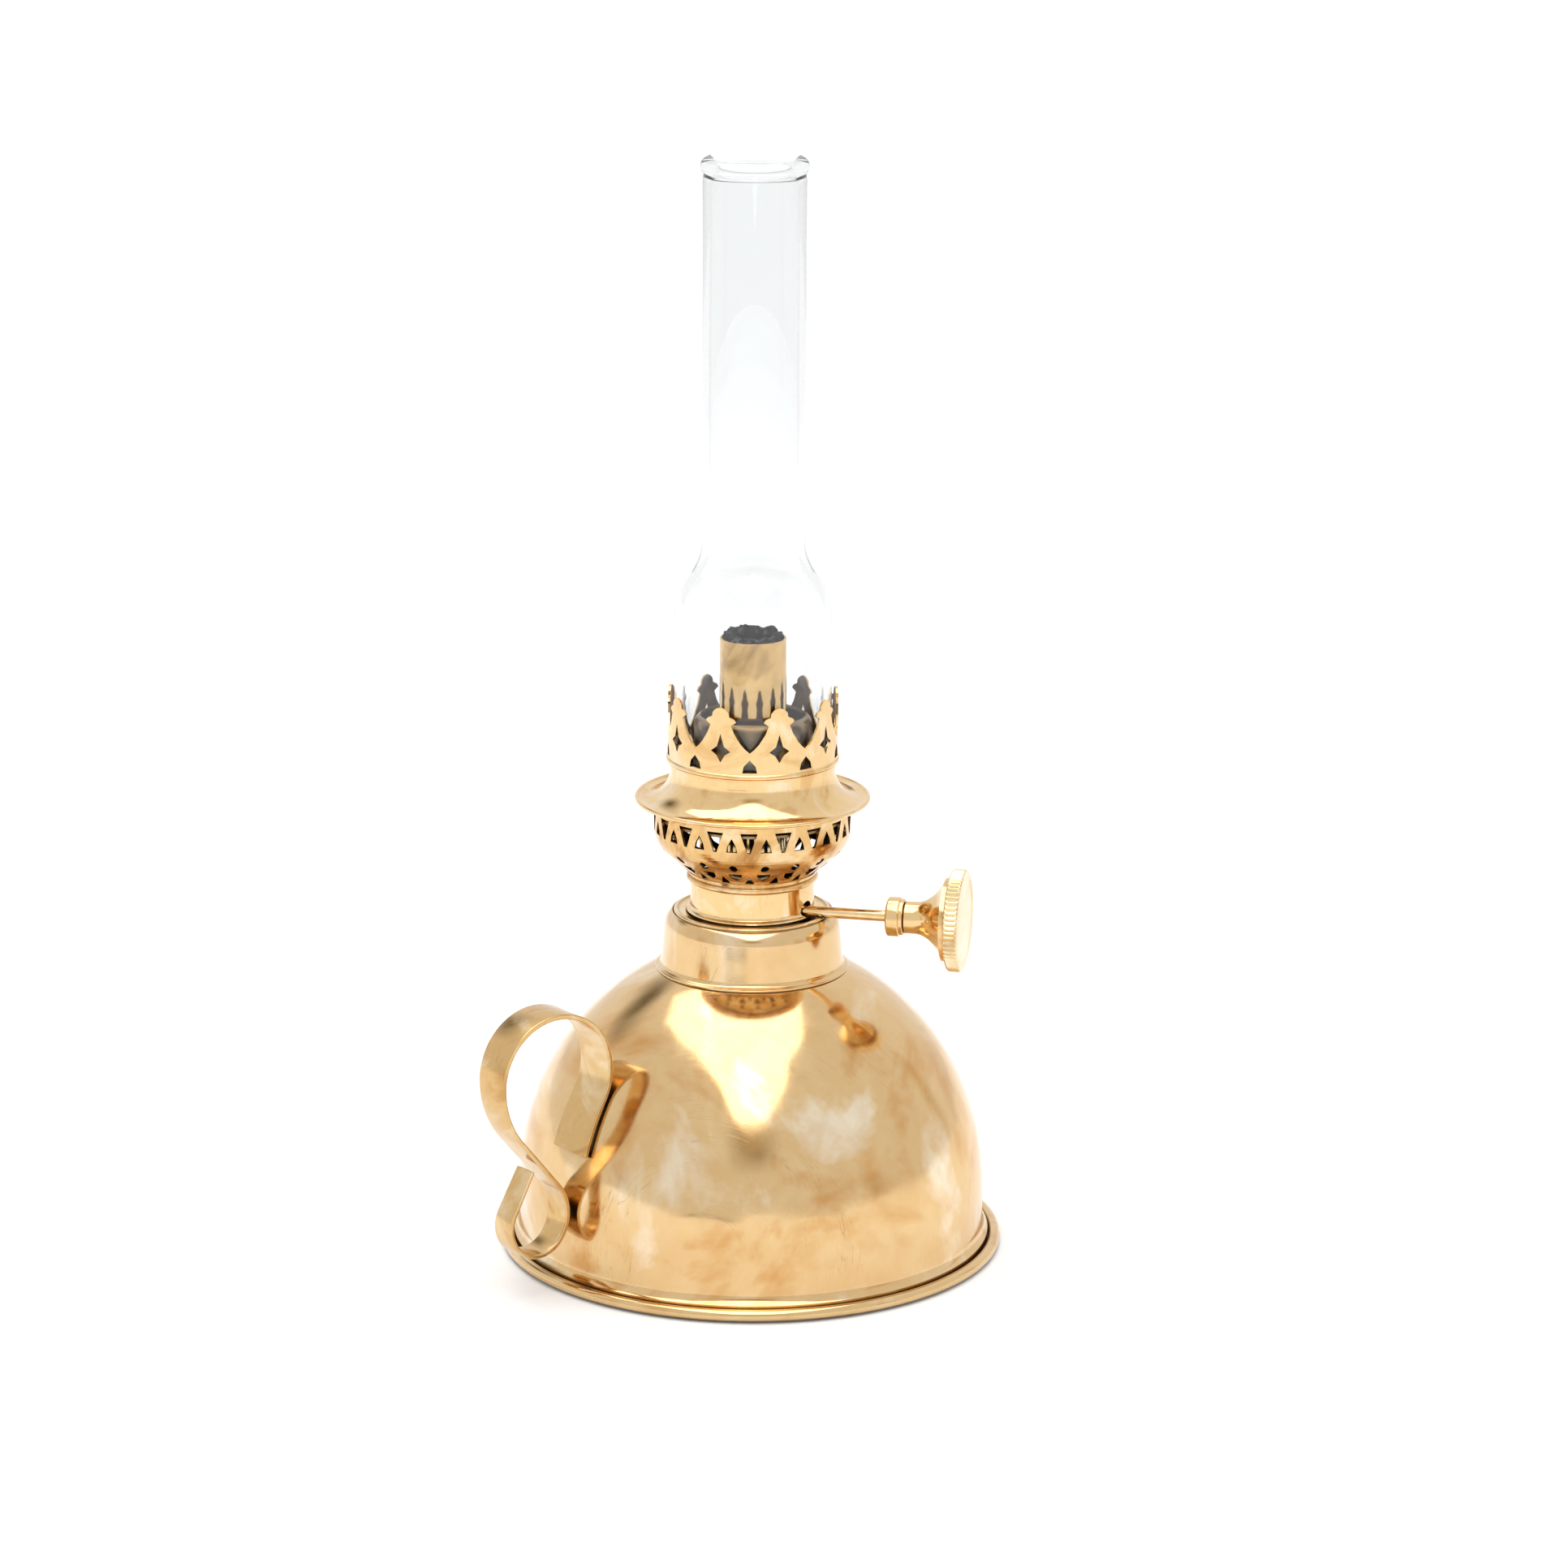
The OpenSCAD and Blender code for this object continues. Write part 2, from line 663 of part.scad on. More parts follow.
// nine springy prongs, pierced with stars, stand on a beaded ring
module gallery_crown() {
    pitch = 360 / prongs;
    half = crown_r * tan(pitch / 2);
    v = crown_h;
    // one side of the gap between two prongs: round point, waist, ear, and the prong's round tip
    edge = [[0, v * 0.36], [half * 0.14, v * 0.41], [half * 0.30, v * 0.49], [half * 0.50, v * 0.63],
        [half * 0.60, v * 0.75], [half * 0.44, v * 0.80], [half * 0.50, v * 0.84], [half * 0.66, v * 0.87],
        [half * 0.68, v * 0.93], [half * 0.78, v * 0.98], [half * 0.90, v + eps], [half * 0.90, v + cut]];
    color("gold")
        difference() {
            union() {
                translate([0, 0, crown_z - 0.8])
                    ring(crown_r, crown_r - sheet, crown_h + 0.8);
                translate([0, 0, crown_z])
                    bead(crown_r + 0.35, crown_bead);
            }
            translate([0, 0, crown_z - crown_h / 2])
                cylinder(r = crown_r - sheet, h = 2 * crown_h);
            for (i = [0 : prongs - 1]) {
                pierce(crown_r, pitch * i, crown_z)
                    polygon(concat(edge, [for (k = [len(edge) - 1 : -1 : 1]) [-edge[k][0], edge[k][1]]]));
                // star in each prong
                pierce(crown_r, pitch * (i + 0.5), crown_z + v * 0.37)
                    polygon([[0, 3.6], [0.75, 1], [2.1, 0], [0.85, -0.85], [0, -2.3],
                        [-0.85, -0.85], [-2.1, 0], [-0.75, 1]]);
                // small arch under each gap
                pierce(crown_r, pitch * i, crown_z + v * 0.07)
                    polygon([[-1.5, 0], [1.5, 0], [1.2, 1.4], [0, 2.7], [-1.2, 1.4]]);
            }
        }
}

module glass_chimney() {
    foot_r = glass_foot_r - 0.15;
    tube_r = glass_tube_r - 0.15;
    // two equal arcs make the S between the wide foot and the tube
    turn = 2 * atan((foot_r - tube_r) / shoulder_fall);
    s_r = shoulder_fall / (2 * sin(turn));
    low = [foot_r - s_r, glass_z + shoulder_h];
    high = [tube_r + s_r, glass_z + shoulder_h + shoulder_fall];
    outer = concat([[glass_foot_r, glass_z], [foot_r, glass_z + 20]], arc(low, s_r, 0, turn, 6),
        arc(high, s_r, 180 + turn, 180, 6), [[tube_r, glass_top - glass_bead]]);
    inner = concat([[tube_r - glass_t, glass_top - glass_bead]], arc(high, s_r + glass_t, 180, 180 + turn, 6),
        arc(low, s_r - glass_t, turn, 0, 6), [[foot_r - glass_t, glass_z + 20], [glass_foot_r - glass_t, glass_z]]);
    color("lightcyan", 0.4)
        union() {
            lathe(concat(outer, inner));
            translate([0, 0, glass_top - glass_bead])
                bead(glass_tube_r + 0.35, glass_bead);
        }
}

base_pan();
font_shell();
font_collar();
collar_insert();
handle_strip();
handle_solder();
burner_sleeve();
burner_lip();
burner_floor();
burner_neck();
winder_bracket();
air_basket();
deflector_ring();
wick_tube();
draught_tube();
air_duct();
winder_shaft();
wick_wheels();
knob_ferrule();
knob_hub();
knob_disc();
wick();
gallery_flange();
gallery_crown();
glass_chimney();
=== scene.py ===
import json
import math

import bmesh
import bpy
from mathutils import Matrix, Vector, noise


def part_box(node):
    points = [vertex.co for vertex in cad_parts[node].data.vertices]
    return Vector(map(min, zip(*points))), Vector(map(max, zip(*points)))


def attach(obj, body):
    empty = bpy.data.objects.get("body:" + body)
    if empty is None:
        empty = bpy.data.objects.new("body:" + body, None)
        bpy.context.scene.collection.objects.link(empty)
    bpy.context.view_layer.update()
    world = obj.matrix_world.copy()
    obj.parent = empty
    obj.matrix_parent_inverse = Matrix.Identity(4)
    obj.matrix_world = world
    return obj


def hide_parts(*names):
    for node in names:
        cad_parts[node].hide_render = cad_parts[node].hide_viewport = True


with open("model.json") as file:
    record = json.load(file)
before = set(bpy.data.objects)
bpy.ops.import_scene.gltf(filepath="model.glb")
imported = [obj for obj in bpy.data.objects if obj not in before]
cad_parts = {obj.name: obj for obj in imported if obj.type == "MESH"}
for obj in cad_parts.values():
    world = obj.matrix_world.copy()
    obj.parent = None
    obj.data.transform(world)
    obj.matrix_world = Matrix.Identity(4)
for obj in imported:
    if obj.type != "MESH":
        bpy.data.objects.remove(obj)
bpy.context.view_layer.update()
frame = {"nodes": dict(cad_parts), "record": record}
B = {name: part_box(name) for name in frame["nodes"]}
MM = 0.001
TURN = 256          # steps round a turned piece


# ---------------------------------------------------------------- camera
VIEW_AZIMUTH = math.radians(12)
PITCH = math.radians(15.05)
ROLL = math.radians(0.22)
DISTANCE = 1.016
cam_data = bpy.data.cameras.new("camera")
cam = bpy.data.objects.new("camera", cam_data)
bpy.context.scene.collection.objects.link(cam)
cam.matrix_world = (
    Matrix.Translation((DISTANCE * math.sin(VIEW_AZIMUTH), -DISTANCE * math.cos(VIEW_AZIMUTH), 0.3703))
    @ Matrix.Rotation(VIEW_AZIMUTH, 4, "Z")
    @ Matrix.Rotation(math.pi / 2 - PITCH, 4, "X")
    @ Matrix.Rotation(ROLL, 4, "Z"))
cam_data.lens = 118.8
cam_data.sensor_width = 36
cam_data.shift_x = 0.020
cam_data.clip_end = 50
bpy.context.scene.camera = cam


# ---------------------------------------------------------------- sizes, in mm, taken from the frame
def top(name):
    return B[name][1].z / MM


def foot(name):
    return B[name][0].z / MM


def radius(name):
    return B[name][1].x / MM


BASE_R = radius("base_pan")
RIM_R = top("base_pan") / 2
FOOT_R = radius("font_shell")
COLLAR_R = radius("font_collar")
COLLAR_Z, COLLAR_TOP = foot("font_collar"), top("font_collar")
LIP_R, LIP_TOP = radius("burner_lip"), top("burner_lip")
NECK_FOOT_R = radius("burner_neck")
NECK_Z, NECK_TOP = foot("burner_neck"), top("burner_neck")
DEFLECTOR_TOP, PLATE_Z, PLATE_R = top("deflector_ring"), foot("deflector_ring"), radius("deflector_ring")
TUBE_R, TUBE_Z, TUBE_TOP = radius("wick_tube"), foot("wick_tube"), top("wick_tube")
WICK_R, WICK_Z, WICK_TOP = radius("wick"), foot("wick"), top("wick")
FLANGE_R = radius("gallery_flange")
GLASS_R, GLASS_Z, GLASS_TOP = radius("glass_chimney"), foot("glass_chimney"), top("glass_chimney")
SHAFT_Y = -3.6
SHAFT_Z = (top("winder_shaft") + foot("winder_shaft")) / 2
BASKET_R, BASKET_TOP = radius("air_basket"), top("air_basket")
SHEET = 0.5
FONT_R, FONT_WALL = 48.0, 0.8
WALL_H = 12.2               # the dome starts here, one arc of radius DOME_R about (DOME_X, WALL_H)
DOME_R, DOME_X = 52.27, -4.27
SLEEVE_R = radius("burner_sleeve")


# ---------------------------------------------------------------- mesh helpers
def arc(cx, cy, r, a0, a1, n=16):
    return [(cx + r * math.cos(math.radians(a0 + (a1 - a0) * i / n)),
             cy + r * math.sin(math.radians(a0 + (a1 - a0) * i / n))) for i in range(n + 1)]


def soft(points, n=6, closed=True):
    """Outline with rounded corners, from (r, z, rounding) or plain (r, z) points."""
    out, count = [], len(points)
    for i, p in enumerate(points):
        here = Vector(p[:2])
        round_r = p[2] if len(p) > 2 else 0
        if not round_r or (not closed and i in (0, count - 1)):
            out.append((here.x, here.y))
            continue
        a = Vector(points[i - 1][:2]) - here
        b = Vector(points[(i + 1) % count][:2]) - here
        la, lb = a.length, b.length
        a.normalize()
        b.normalize()
        half = math.acos(max(-1, min(1, a.dot(b)))) / 2
        if half > math.pi / 2 - 0.01:
            out.append((here.x, here.y))
            continue
        cut = min(round_r / math.tan(half), 0.48 * la, 0.48 * lb)
        r = cut * math.tan(half)
        centre = here + (a + b).normalized() * (r / math.sin(half))
        p0, p1 = here + a * cut - centre, here + b * cut - centre
        t0 = math.atan2(p0.y, p0.x)
        t1 = math.atan2(p1.y, p1.x)
        d = (t1 - t0 + math.pi) % (2 * math.pi) - math.pi
        out += [(centre.x + r * math.cos(t0 + d * k / n), centre.y + r * math.sin(t0 + d * k / n))
                for k in range(n + 1)]
    return out


def wall(line, t):
    """Closed outline of a sheet of thickness t inside an open outer line drawn from the bottom up."""
    inner = []
    for i, p in enumerate(line):
        a = Vector(line[max(i - 1, 0)])
        b = Vector(line[min(i + 1, len(line) - 1)])
        d = (b - a).normalized()
        inner.append((p[0] - d.y * t, p[1] + d.x * t))
    return list(line) + inner[::-1]


def build(name, verts, faces, sharp=35):
    mesh = bpy.data.meshes.new(name)
    mesh.from_pydata([Vector(v) * MM for v in verts], [], faces)
    mesh.validate()
    bm = bmesh.new()
    bm.from_mesh(mesh)
    bmesh.ops.remove_doubles(bm, verts=bm.verts, dist=1e-7)
    bmesh.ops.recalc_face_normals(bm, faces=bm.faces)
    bm.to_mesh(mesh)
    bm.free()
    mesh.shade_smooth()
    mesh.set_sharp_from_angle(angle=math.radians(sharp))
    obj = bpy.data.objects.new(name, mesh)
    bpy.context.scene.collection.objects.link(obj)
    return obj


def turned(name, outline, steps=TURN, sharp=35, warp=None, place=None):
    """Solid of revolution from a closed outline of (r, z) in mm. warp(r, z, angle) may move a point."""
    verts, rings = [], []
    for r, z in outline:
        if r < 1e-6:
            rings.append([len(verts)] * steps)
            verts.append((0, 0, z))
            continue
        rings.append(list(range(len(verts), len(verts) + steps)))
        for k in range(steps):
            a = 2 * math.pi * k / steps
            rr, zz = warp(r, z, a) if warp else (r, z)
            verts.append((rr * math.cos(a), rr * math.sin(a), zz))
    faces = []
    for i, ring in enumerate(rings):
        nxt = rings[(i + 1) % len(rings)]
        if ring[0] == ring[1] and nxt[0] == nxt[1]:
            continue
        for k in range(steps):
            m = (k + 1) % steps
            quad = []
            for v in (ring[k], ring[m], nxt[m], nxt[k]):
                if v not in quad:
                    quad.append(v)
            faces.append(quad)
    if place:
        verts = [place @ Vector(v) for v in verts]
    return build(name, verts, faces, sharp)


def carve(obj, cutters, sharp=35):
    """Cuts the cutters out of obj for good."""
    for c in cutters:
        m = obj.modifiers.new("cut", "BOOLEAN")
        m.operation = "DIFFERENCE"
        m.solver = "EXACT"
        m.object = c
    graph = bpy.context.evaluated_depsgraph_get()
    mesh = bpy.data.meshes.new_from_object(obj.evaluated_get(graph))
    obj.modifiers.clear()
    obj.data = mesh
    mesh.shade_smooth()
    mesh.set_sharp_from_angle(angle=math.radians(sharp))
    for c in cutters:
        bpy.data.objects.remove(c)


def block(lo, hi):
    x0, y0, z0 = lo
    x1, y1, z1 = hi
    v = [(x, y, z) for z in (z0, z1) for y in (y0, y1) for x in (x0, x1)]
    sides = [(0, 2, 3, 1), (4, 5, 7, 6), (0, 1, 5, 4), (2, 6, 7, 3), (0, 4, 6, 2), (1, 3, 7, 5)]
    return build("cutter", v, sides)


def along_x(x):
    """Places a piece turned about Z so that its axis is the winder shaft's."""
    return Matrix.Translation((x, SHAFT_Y, SHAFT_Z)) @ Matrix.Rotation(math.pi / 2, 4, "Y")


# ---------------------------------------------------------------- materials
def srgb(r, g, b, k=1.0):
    def lin(c):
        c /= 255
        return c / 12.92 if c <= 0.04045 else ((c + 0.055) / 1.055) ** 2.4
    return (lin(r) * k, lin(g) * k, lin(b) * k, 1)


class Tree:
    """Short hand for building one material's nodes."""

    def __init__(self, name):
        self.material = bpy.data.materials.new(name)
        self.material.use_nodes = True
        self.nodes = self.material.node_tree.nodes
        self.links = self.material.node_tree.links
        self.shader = self.nodes["Principled BSDF"]
        self.coords = self.nodes.new("ShaderNodeTexCoord").outputs["Object"]

    def link(self, a, b):
        self.links.new(a, b)

    def put(self, socket, value):
        if isinstance(value, bpy.types.NodeSocket):
            self.link(value, socket)
        else:
            socket.default_value = value

    def math(self, op, a, b=0.0, c=0.0, clamp=False):
        n = self.nodes.new("ShaderNodeMath")
        n.operation = op
        n.use_clamp = clamp
        for s, v in zip(n.inputs, (a, b, c)):
            self.put(s, v)
        return n.outputs[0]

    def noise(self, scale, detail=3, rough=0.5, distortion=0.0, vector=None, seed=0.0):
        n = self.nodes.new("ShaderNodeTexNoise")
        n.noise_dimensions = "4D"
        n.inputs["Scale"].default_value = scale
        n.inputs["Detail"].default_value = detail
        n.inputs["Roughness"].default_value = rough
        n.inputs["Distortion"].default_value = distortion
        n.inputs["W"].default_value = seed
        self.link(vector or self.coords, n.inputs["Vector"])
        return n.outputs["Fac"]

    def stretch(self, scale, turn=(0, 0, 0)):
        n = self.nodes.new("ShaderNodeMapping")
        n.inputs["Scale"].default_value = scale
        n.inputs["Rotation"].default_value = turn
        self.link(self.coords, n.inputs["Vector"])
        return n.outputs[0]

    def ramp(self, fac, stops):
        n = self.nodes.new("ShaderNodeValToRGB")
        e = n.color_ramp.elements
        while len(e) < len(stops):
            e.new(0.5)
        for el, (pos, col) in zip(e, stops):
            el.position = pos
            el.color = col
        self.link(fac, n.inputs[0])
        return n.outputs[0]

    def spread(self, fac, lo, hi, out_lo=0.0, out_hi=1.0):
        n = self.nodes.new("ShaderNodeMapRange")
        n.inputs["From Min"].default_value = lo
        n.inputs["From Max"].default_value = hi
        n.inputs["To Min"].default_value = out_lo
        n.inputs["To Max"].default_value = out_hi
        self.link(fac, n.inputs["Value"])
        return n.outputs[0]

    def mix(self, fac, a, b, blend="MIX"):
        n = self.nodes.new("ShaderNodeMix")
        n.data_type = "RGBA"
        n.blend_type = blend
        for s, v in ((n.inputs[0], fac), (n.inputs[6], a), (n.inputs[7], b)):
            self.put(s, v)
        return n.outputs[2]

    def split(self):
        n = self.nodes.new("ShaderNodeSeparateXYZ")
        self.link(self.coords, n.inputs[0])
        return n.outputs

    def bump(self, height, distance, strength=1.0, after=None):
        n = self.nodes.new("ShaderNodeBump")
        n.inputs["Distance"].default_value = distance
        n.inputs["Strength"].default_value = strength
        self.link(height, n.inputs["Height"])
        if after:
            self.link(after, n.inputs["Normal"])
        return n.outputs[0]


def brass(name, base, tarnish, pale, rough=(0.07, 0.16), cloud=38, amount=0.6, lines=0.4, wave=0.5,
          scratch=0.5, corner_shade=0.7, corner_shade_colour=(70, 44, 16), seed=0.0, swirl=1.6, inside=None):
    """Polished brass: cloudy tarnish, turning lines, fine scratches and painted shade in the corners.
    inside is the painted shade colour of the faces that look at the lamp's axis."""
    t = Tree(name)
    big = t.noise(cloud, 4, 0.55, swirl, seed=seed)
    small = t.noise(cloud * 4.3, 4, 0.6, 0.6, seed=seed + 3)
    col = t.ramp(big, [(0.36, srgb(*tarnish)), (0.46, srgb(*base)), (0.54, srgb(*base)), (0.64, srgb(*pale))])
    col = t.mix(t.spread(small, 0.35, 0.75, 0.0, amount * 0.5), col, srgb(*tarnish))
    col = t.mix(1 - amount, col, srgb(*base))
    # hair-line scratches in three directions
    marks = None
    for i, turn in enumerate(((0.3, 0.9, 0.2), (1.2, 0.2, 1.9), (0.1, 2.2, 1.0))):
        fine = t.noise(26, 2, 0.5, 0.15, t.stretch((1, 46, 1.6), turn), seed + i * 7)
        line = t.spread(t.math("ABSOLUTE", t.math("SUBTRACT", fine, 0.5)), 0.006, 0.0)
        where = t.spread(t.noise(55, 2, seed=seed + 20 + i), 0.52, 0.66)
        line = t.math("MULTIPLY", line, where, clamp=True)
        marks = line if marks is None else t.math("MAXIMUM", marks, line)
    col = t.mix(t.math("MULTIPLY", marks, 0.35 * scratch), col, srgb(110, 78, 36))
    # painted shade: ambient occlusion darkens corners, creases and joins between parts towards a brown
    ao = t.nodes.new("ShaderNodeAmbientOcclusion")
    ao.samples = 8
    ao.inputs["Distance"].default_value = 0.0016
    painted_shade_mask = t.math("MULTIPLY", t.spread(ao.outputs["AO"], 0.75, 0.25), corner_shade, clamp=True)
    col = t.mix(painted_shade_mask, col, srgb(*corner_shade_colour))
    # painted shade: faces near the axis that look inwards are darkened towards the inside colour, as the
    # hollow burner gets little light
    if inside:
        geo = t.nodes.new("ShaderNodeNewGeometry")
        flat = t.nodes.new("ShaderNodeVectorMath")
        flat.operation = "MULTIPLY"
        t.link(geo.outputs["Position"], flat.inputs[0])
        flat.inputs[1].default_value = (1, 1, 0)
        unit = t.nodes.new("ShaderNodeVectorMath")
        unit.operation = "NORMALIZE"
        t.link(flat.outputs[0], unit.inputs[0])
        facing_in = t.nodes.new("ShaderNodeVectorMath")
        facing_in.operation = "DOT_PRODUCT"
        t.link(unit.outputs[0], facing_in.inputs[0])
        t.link(geo.outputs["True Normal"], facing_in.inputs[1])
        reach = t.nodes.new("ShaderNodeVectorMath")
        reach.operation = "LENGTH"
        t.link(flat.outputs[0], reach.inputs[0])
        inner_shade_mask = t.math("MULTIPLY", t.spread(facing_in.outputs["Value"], -0.3, -0.6),
                      t.spread(reach.outputs["Value"], 0.0225, 0.0215))
        col = t.mix(inner_shade_mask, col, t.ramp(small, [(0.35, srgb(*inside)), (0.7, srgb(*inside, 1.6))]))
        painted_shade_mask = t.math("MAXIMUM", painted_shade_mask, inner_shade_mask)
    t.link(col, t.shader.inputs["Base Color"])
    t.shader.inputs["Metallic"].default_value = 1.0
    film = t.noise(cloud * 9, 5, 0.65, 0.3, seed=seed + 11)
    r = t.spread(film, 0.3, 0.75, rough[0], rough[1])
    r = t.math("ADD", r, t.math("MULTIPLY", t.spread(big, 0.62, 0.80), 0.10))
    r = t.math("ADD", r, t.math("MULTIPLY", marks, 0.18 * scratch))
    r = t.math("ADD", r, t.math("MULTIPLY", painted_shade_mask, 0.3), clamp=True)
    t.link(r, t.shader.inputs["Roughness"])
    # turning lines follow height and radius together
    x, y, z = t.split()
    rad = t.math("SQRT", t.math("ADD", t.math("MULTIPLY", x, x), t.math("MULTIPLY", y, y)))
    track = t.nodes.new("ShaderNodeCombineXYZ")
    t.link(t.math("ADD", z, t.math("MULTIPLY", rad, 0.8)), track.inputs[2])
    t.link(t.math("MULTIPLY", rad, 0.02), track.inputs[0])
    spin = t.noise(2600, 2, 0.7, vector=track.outputs[0], seed=seed)
    n = t.bump(t.noise(52, 2, 0.4, 0.4, seed=seed + 5), 0.0009 * wave, 0.25)
    n = t.bump(spin, 0.00001 * lines, 0.5, n)
    grain = t.math("SUBTRACT", t.noise(1900, 3, 0.7, seed=seed), t.math("MULTIPLY", marks, 0.8))
    n = t.bump(grain, 0.000006, 0.6, n)
    t.link(n, t.shader.inputs["Normal"])
    return t.material


def glass(name):
    """Clear blown glass with faint ripples, a few seeds and a slight haze."""
    t = Tree(name)
    s = t.shader
    s.inputs["Base Color"].default_value = (0.945, 0.958, 0.958, 1)
    s.inputs["Transmission Weight"].default_value = 1.0
    s.inputs["IOR"].default_value = 1.5
    ripple = t.noise(60, 2, 0.4, 0.5, t.stretch((1, 1, 0.25)))
    haze = t.noise(110, 4, 0.6, 0.8)
    t.link(t.spread(haze, 0.55, 0.85, 0.0, 0.05), s.inputs["Roughness"])
    n = t.bump(ripple, 0.0004, 0.12)
    seeds = t.nodes.new("ShaderNodeTexVoronoi")
    seeds.inputs["Scale"].default_value = 130
    t.link(t.stretch((1, 1, 0.45)), seeds.inputs["Vector"])
    dots = t.spread(seeds.outputs["Distance"], 0.05, 0.0)
    few = t.spread(t.noise(45, 2, seed=4), 0.60, 0.62)
    t.link(t.bump(t.math("MULTIPLY", dots, few), 0.0001, 0.4, n), s.inputs["Normal"])
    return t.material


def cotton(name):
    """Charred woven wick: twill ridges, black char with blue-grey ash, paler cotton far below the rim."""
    t = Tree(name)
    x, y, z = t.split()
    angle = t.math("ARCTAN2", y, x)
    over = t.math("SINE", t.math("MULTIPLY", z, 5200))
    across = t.math("SINE", t.math("ADD", t.math("MULTIPLY", angle, 46), t.math("MULTIPLY", z, 2600)))
    weave = t.math("MULTIPLY", t.math("ADD", t.math("MULTIPLY", over, across), 1), 0.5)
    ash = t.noise(420, 4, 0.6, 0.5)
    burnt = t.ramp(ash, [(0.40, srgb(12, 11, 12)), (0.52, srgb(28, 26, 28)), (0.62, srgb(96, 98, 110)),
                         (0.72, srgb(150, 152, 162))])
    clean = t.ramp(ash, [(0.3, srgb(150, 128, 88)), (0.7, srgb(205, 188, 150))])
    char = t.spread(z, 0.096, 0.104)
    col = t.mix(char, clean, burnt)
    col = t.mix(t.spread(weave, 0.35, 0.0, 0.0, 0.7), col, srgb(8, 7, 7))
    t.link(col, t.shader.inputs["Base Color"])
    t.link(t.spread(ash, 0.2, 0.8, 0.75, 1.0), t.shader.inputs["Roughness"])
    n = t.bump(t.noise(900, 4, 0.7), 0.0004, 0.8)
    t.link(t.bump(weave, 0.0003, 0.7, n), t.shader.inputs["Normal"])
    return t.material


def solder_metal(name):
    """Dull soft solder, lumpy and mottled."""
    t = Tree(name)
    lump = t.noise(300, 4, 0.6, 0.8)
    grey = t.ramp(lump, [(0.35, srgb(88, 84, 74)), (0.65, srgb(168, 164, 150))])
    t.link(grey, t.shader.inputs["Base Color"])
    t.shader.inputs["Metallic"].default_value = 1.0
    t.link(t.spread(lump, 0.3, 0.7, 0.3, 0.55), t.shader.inputs["Roughness"])
    t.link(t.bump(lump, 0.0003, 0.5), t.shader.inputs["Normal"])
    return t.material


CREAM = (242, 226, 198)
M = {
    "lacquered_brass": brass("lacquered_brass", (222, 190, 140), (196, 150, 92), CREAM, cloud=30, seed=1),
    "font_brass": brass("font_brass", (224, 192, 142), (206, 156, 96), (240, 226, 200), rough=(0.08, 0.17),
                        cloud=27, amount=0.95, lines=0.2, wave=2.0, scratch=0.9, seed=2.6, swirl=1.2),
    "dull_brass": brass("dull_brass", (150, 122, 84), (104, 78, 46), (170, 148, 112), rough=(0.25, 0.45),
                        cloud=80, seed=3),
    "strip_brass": brass("strip_brass", (214, 178, 122), (186, 138, 80), (232, 210, 172), rough=(0.12, 0.24),
                         cloud=60, amount=0.7, lines=0.1, seed=4),
    "solder": solder_metal("solder"),
    # the inside colours below are painted shade for the inward faces of burner and basket
    "burner_brass": brass("burner_brass", (234, 200, 146), (206, 158, 98), CREAM, rough=(0.07, 0.15),
                          cloud=70, amount=0.6, lines=0.15, seed=5, inside=(112, 88, 74)),
    "basket_brass": brass("basket_brass", (226, 186, 126), (170, 116, 62), (240, 214, 170),
                          rough=(0.10, 0.22), cloud=90, amount=0.85, lines=0.1, seed=6,
                          inside=(34, 24, 18)),
    "tube_brass": brass("tube_brass", (224, 186, 126), (150, 116, 66), (238, 214, 170), rough=(0.08, 0.16),
                        cloud=46, amount=0.9, lines=0.1, seed=7, swirl=0.8),
    "knob_brass": brass("knob_brass", (238, 214, 170), (214, 178, 124), (246, 234, 210), rough=(0.18, 0.28),
                        cloud=90, amount=0.6, lines=0.3, seed=8),
    "wick_cotton": cotton("wick_cotton"),
    "chimney_glass": glass("chimney_glass"),
}
slot_of = {p["node"]: p["material_slot"] for p in frame["record"]["subparts"]}
for name, obj in frame["nodes"].items():
    material = M[slot_of[name]]
    for i in range(max(1, len(obj.material_slots))):
        if i < len(obj.material_slots):
            obj.material_slots[i].material = material
        else:
            obj.data.materials.append(material)


def stands_for(obj, body, node):
    """Lets obj take the place of a CAD node, with that node's material."""
    obj.data.materials.clear()
    obj.data.materials.append(M[slot_of[node]])
    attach(obj, body)
    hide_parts(node)


# ---------------------------------------------------------------- font
pan = soft([(0, 0.35), (BASE_R - 16, 0.35, 0.4), (BASE_R - 14.5, 0.1, 0.3), (BASE_R - 13, 0.1, 0.3),
            (BASE_R - 11.5, 0.35, 0.4), (BASE_R - 2.3, 0.35, 0.1)])
rim = arc(BASE_R - RIM_R, RIM_R, RIM_R, -118, 200, 40)
pan += rim + soft([(BASE_R - 2.45, 0.7, 0.1), (BASE_R - 6, 0.69, 0.1), (0, 0.69)], closed=False)
stands_for(turned("rolled_base", pan, 320), "font", "base_pan")

foot_z = foot("font_shell")
hem = 2.4
hem_start = 180 + math.degrees(math.acos((FONT_R + hem - FOOT_R) / hem))
outer = arc(FONT_R + hem, foot_z + 4, hem, hem_start, 180, 14)
outer = [(FOOT_R, foot_z + 0.02)] + outer + [(FONT_R, WALL_H)]
dome_end = math.degrees(math.acos((SLEEVE_R + 0.1 - DOME_X) / DOME_R))
outer += arc(DOME_X, WALL_H, DOME_R, 1, dome_end, 90)
inner = [(FONT_R - FONT_WALL, foot_z), (FONT_R - FONT_WALL, WALL_H)]
inner_end = math.degrees(math.acos((SLEEVE_R + 0.1 - DOME_X) / (DOME_R - FONT_WALL)))
inner += arc(DOME_X, WALL_H, DOME_R - FONT_WALL, 1, inner_end, 60)
stands_for(turned("spun_font", outer + inner[::-1], 384), "font", "font_shell")

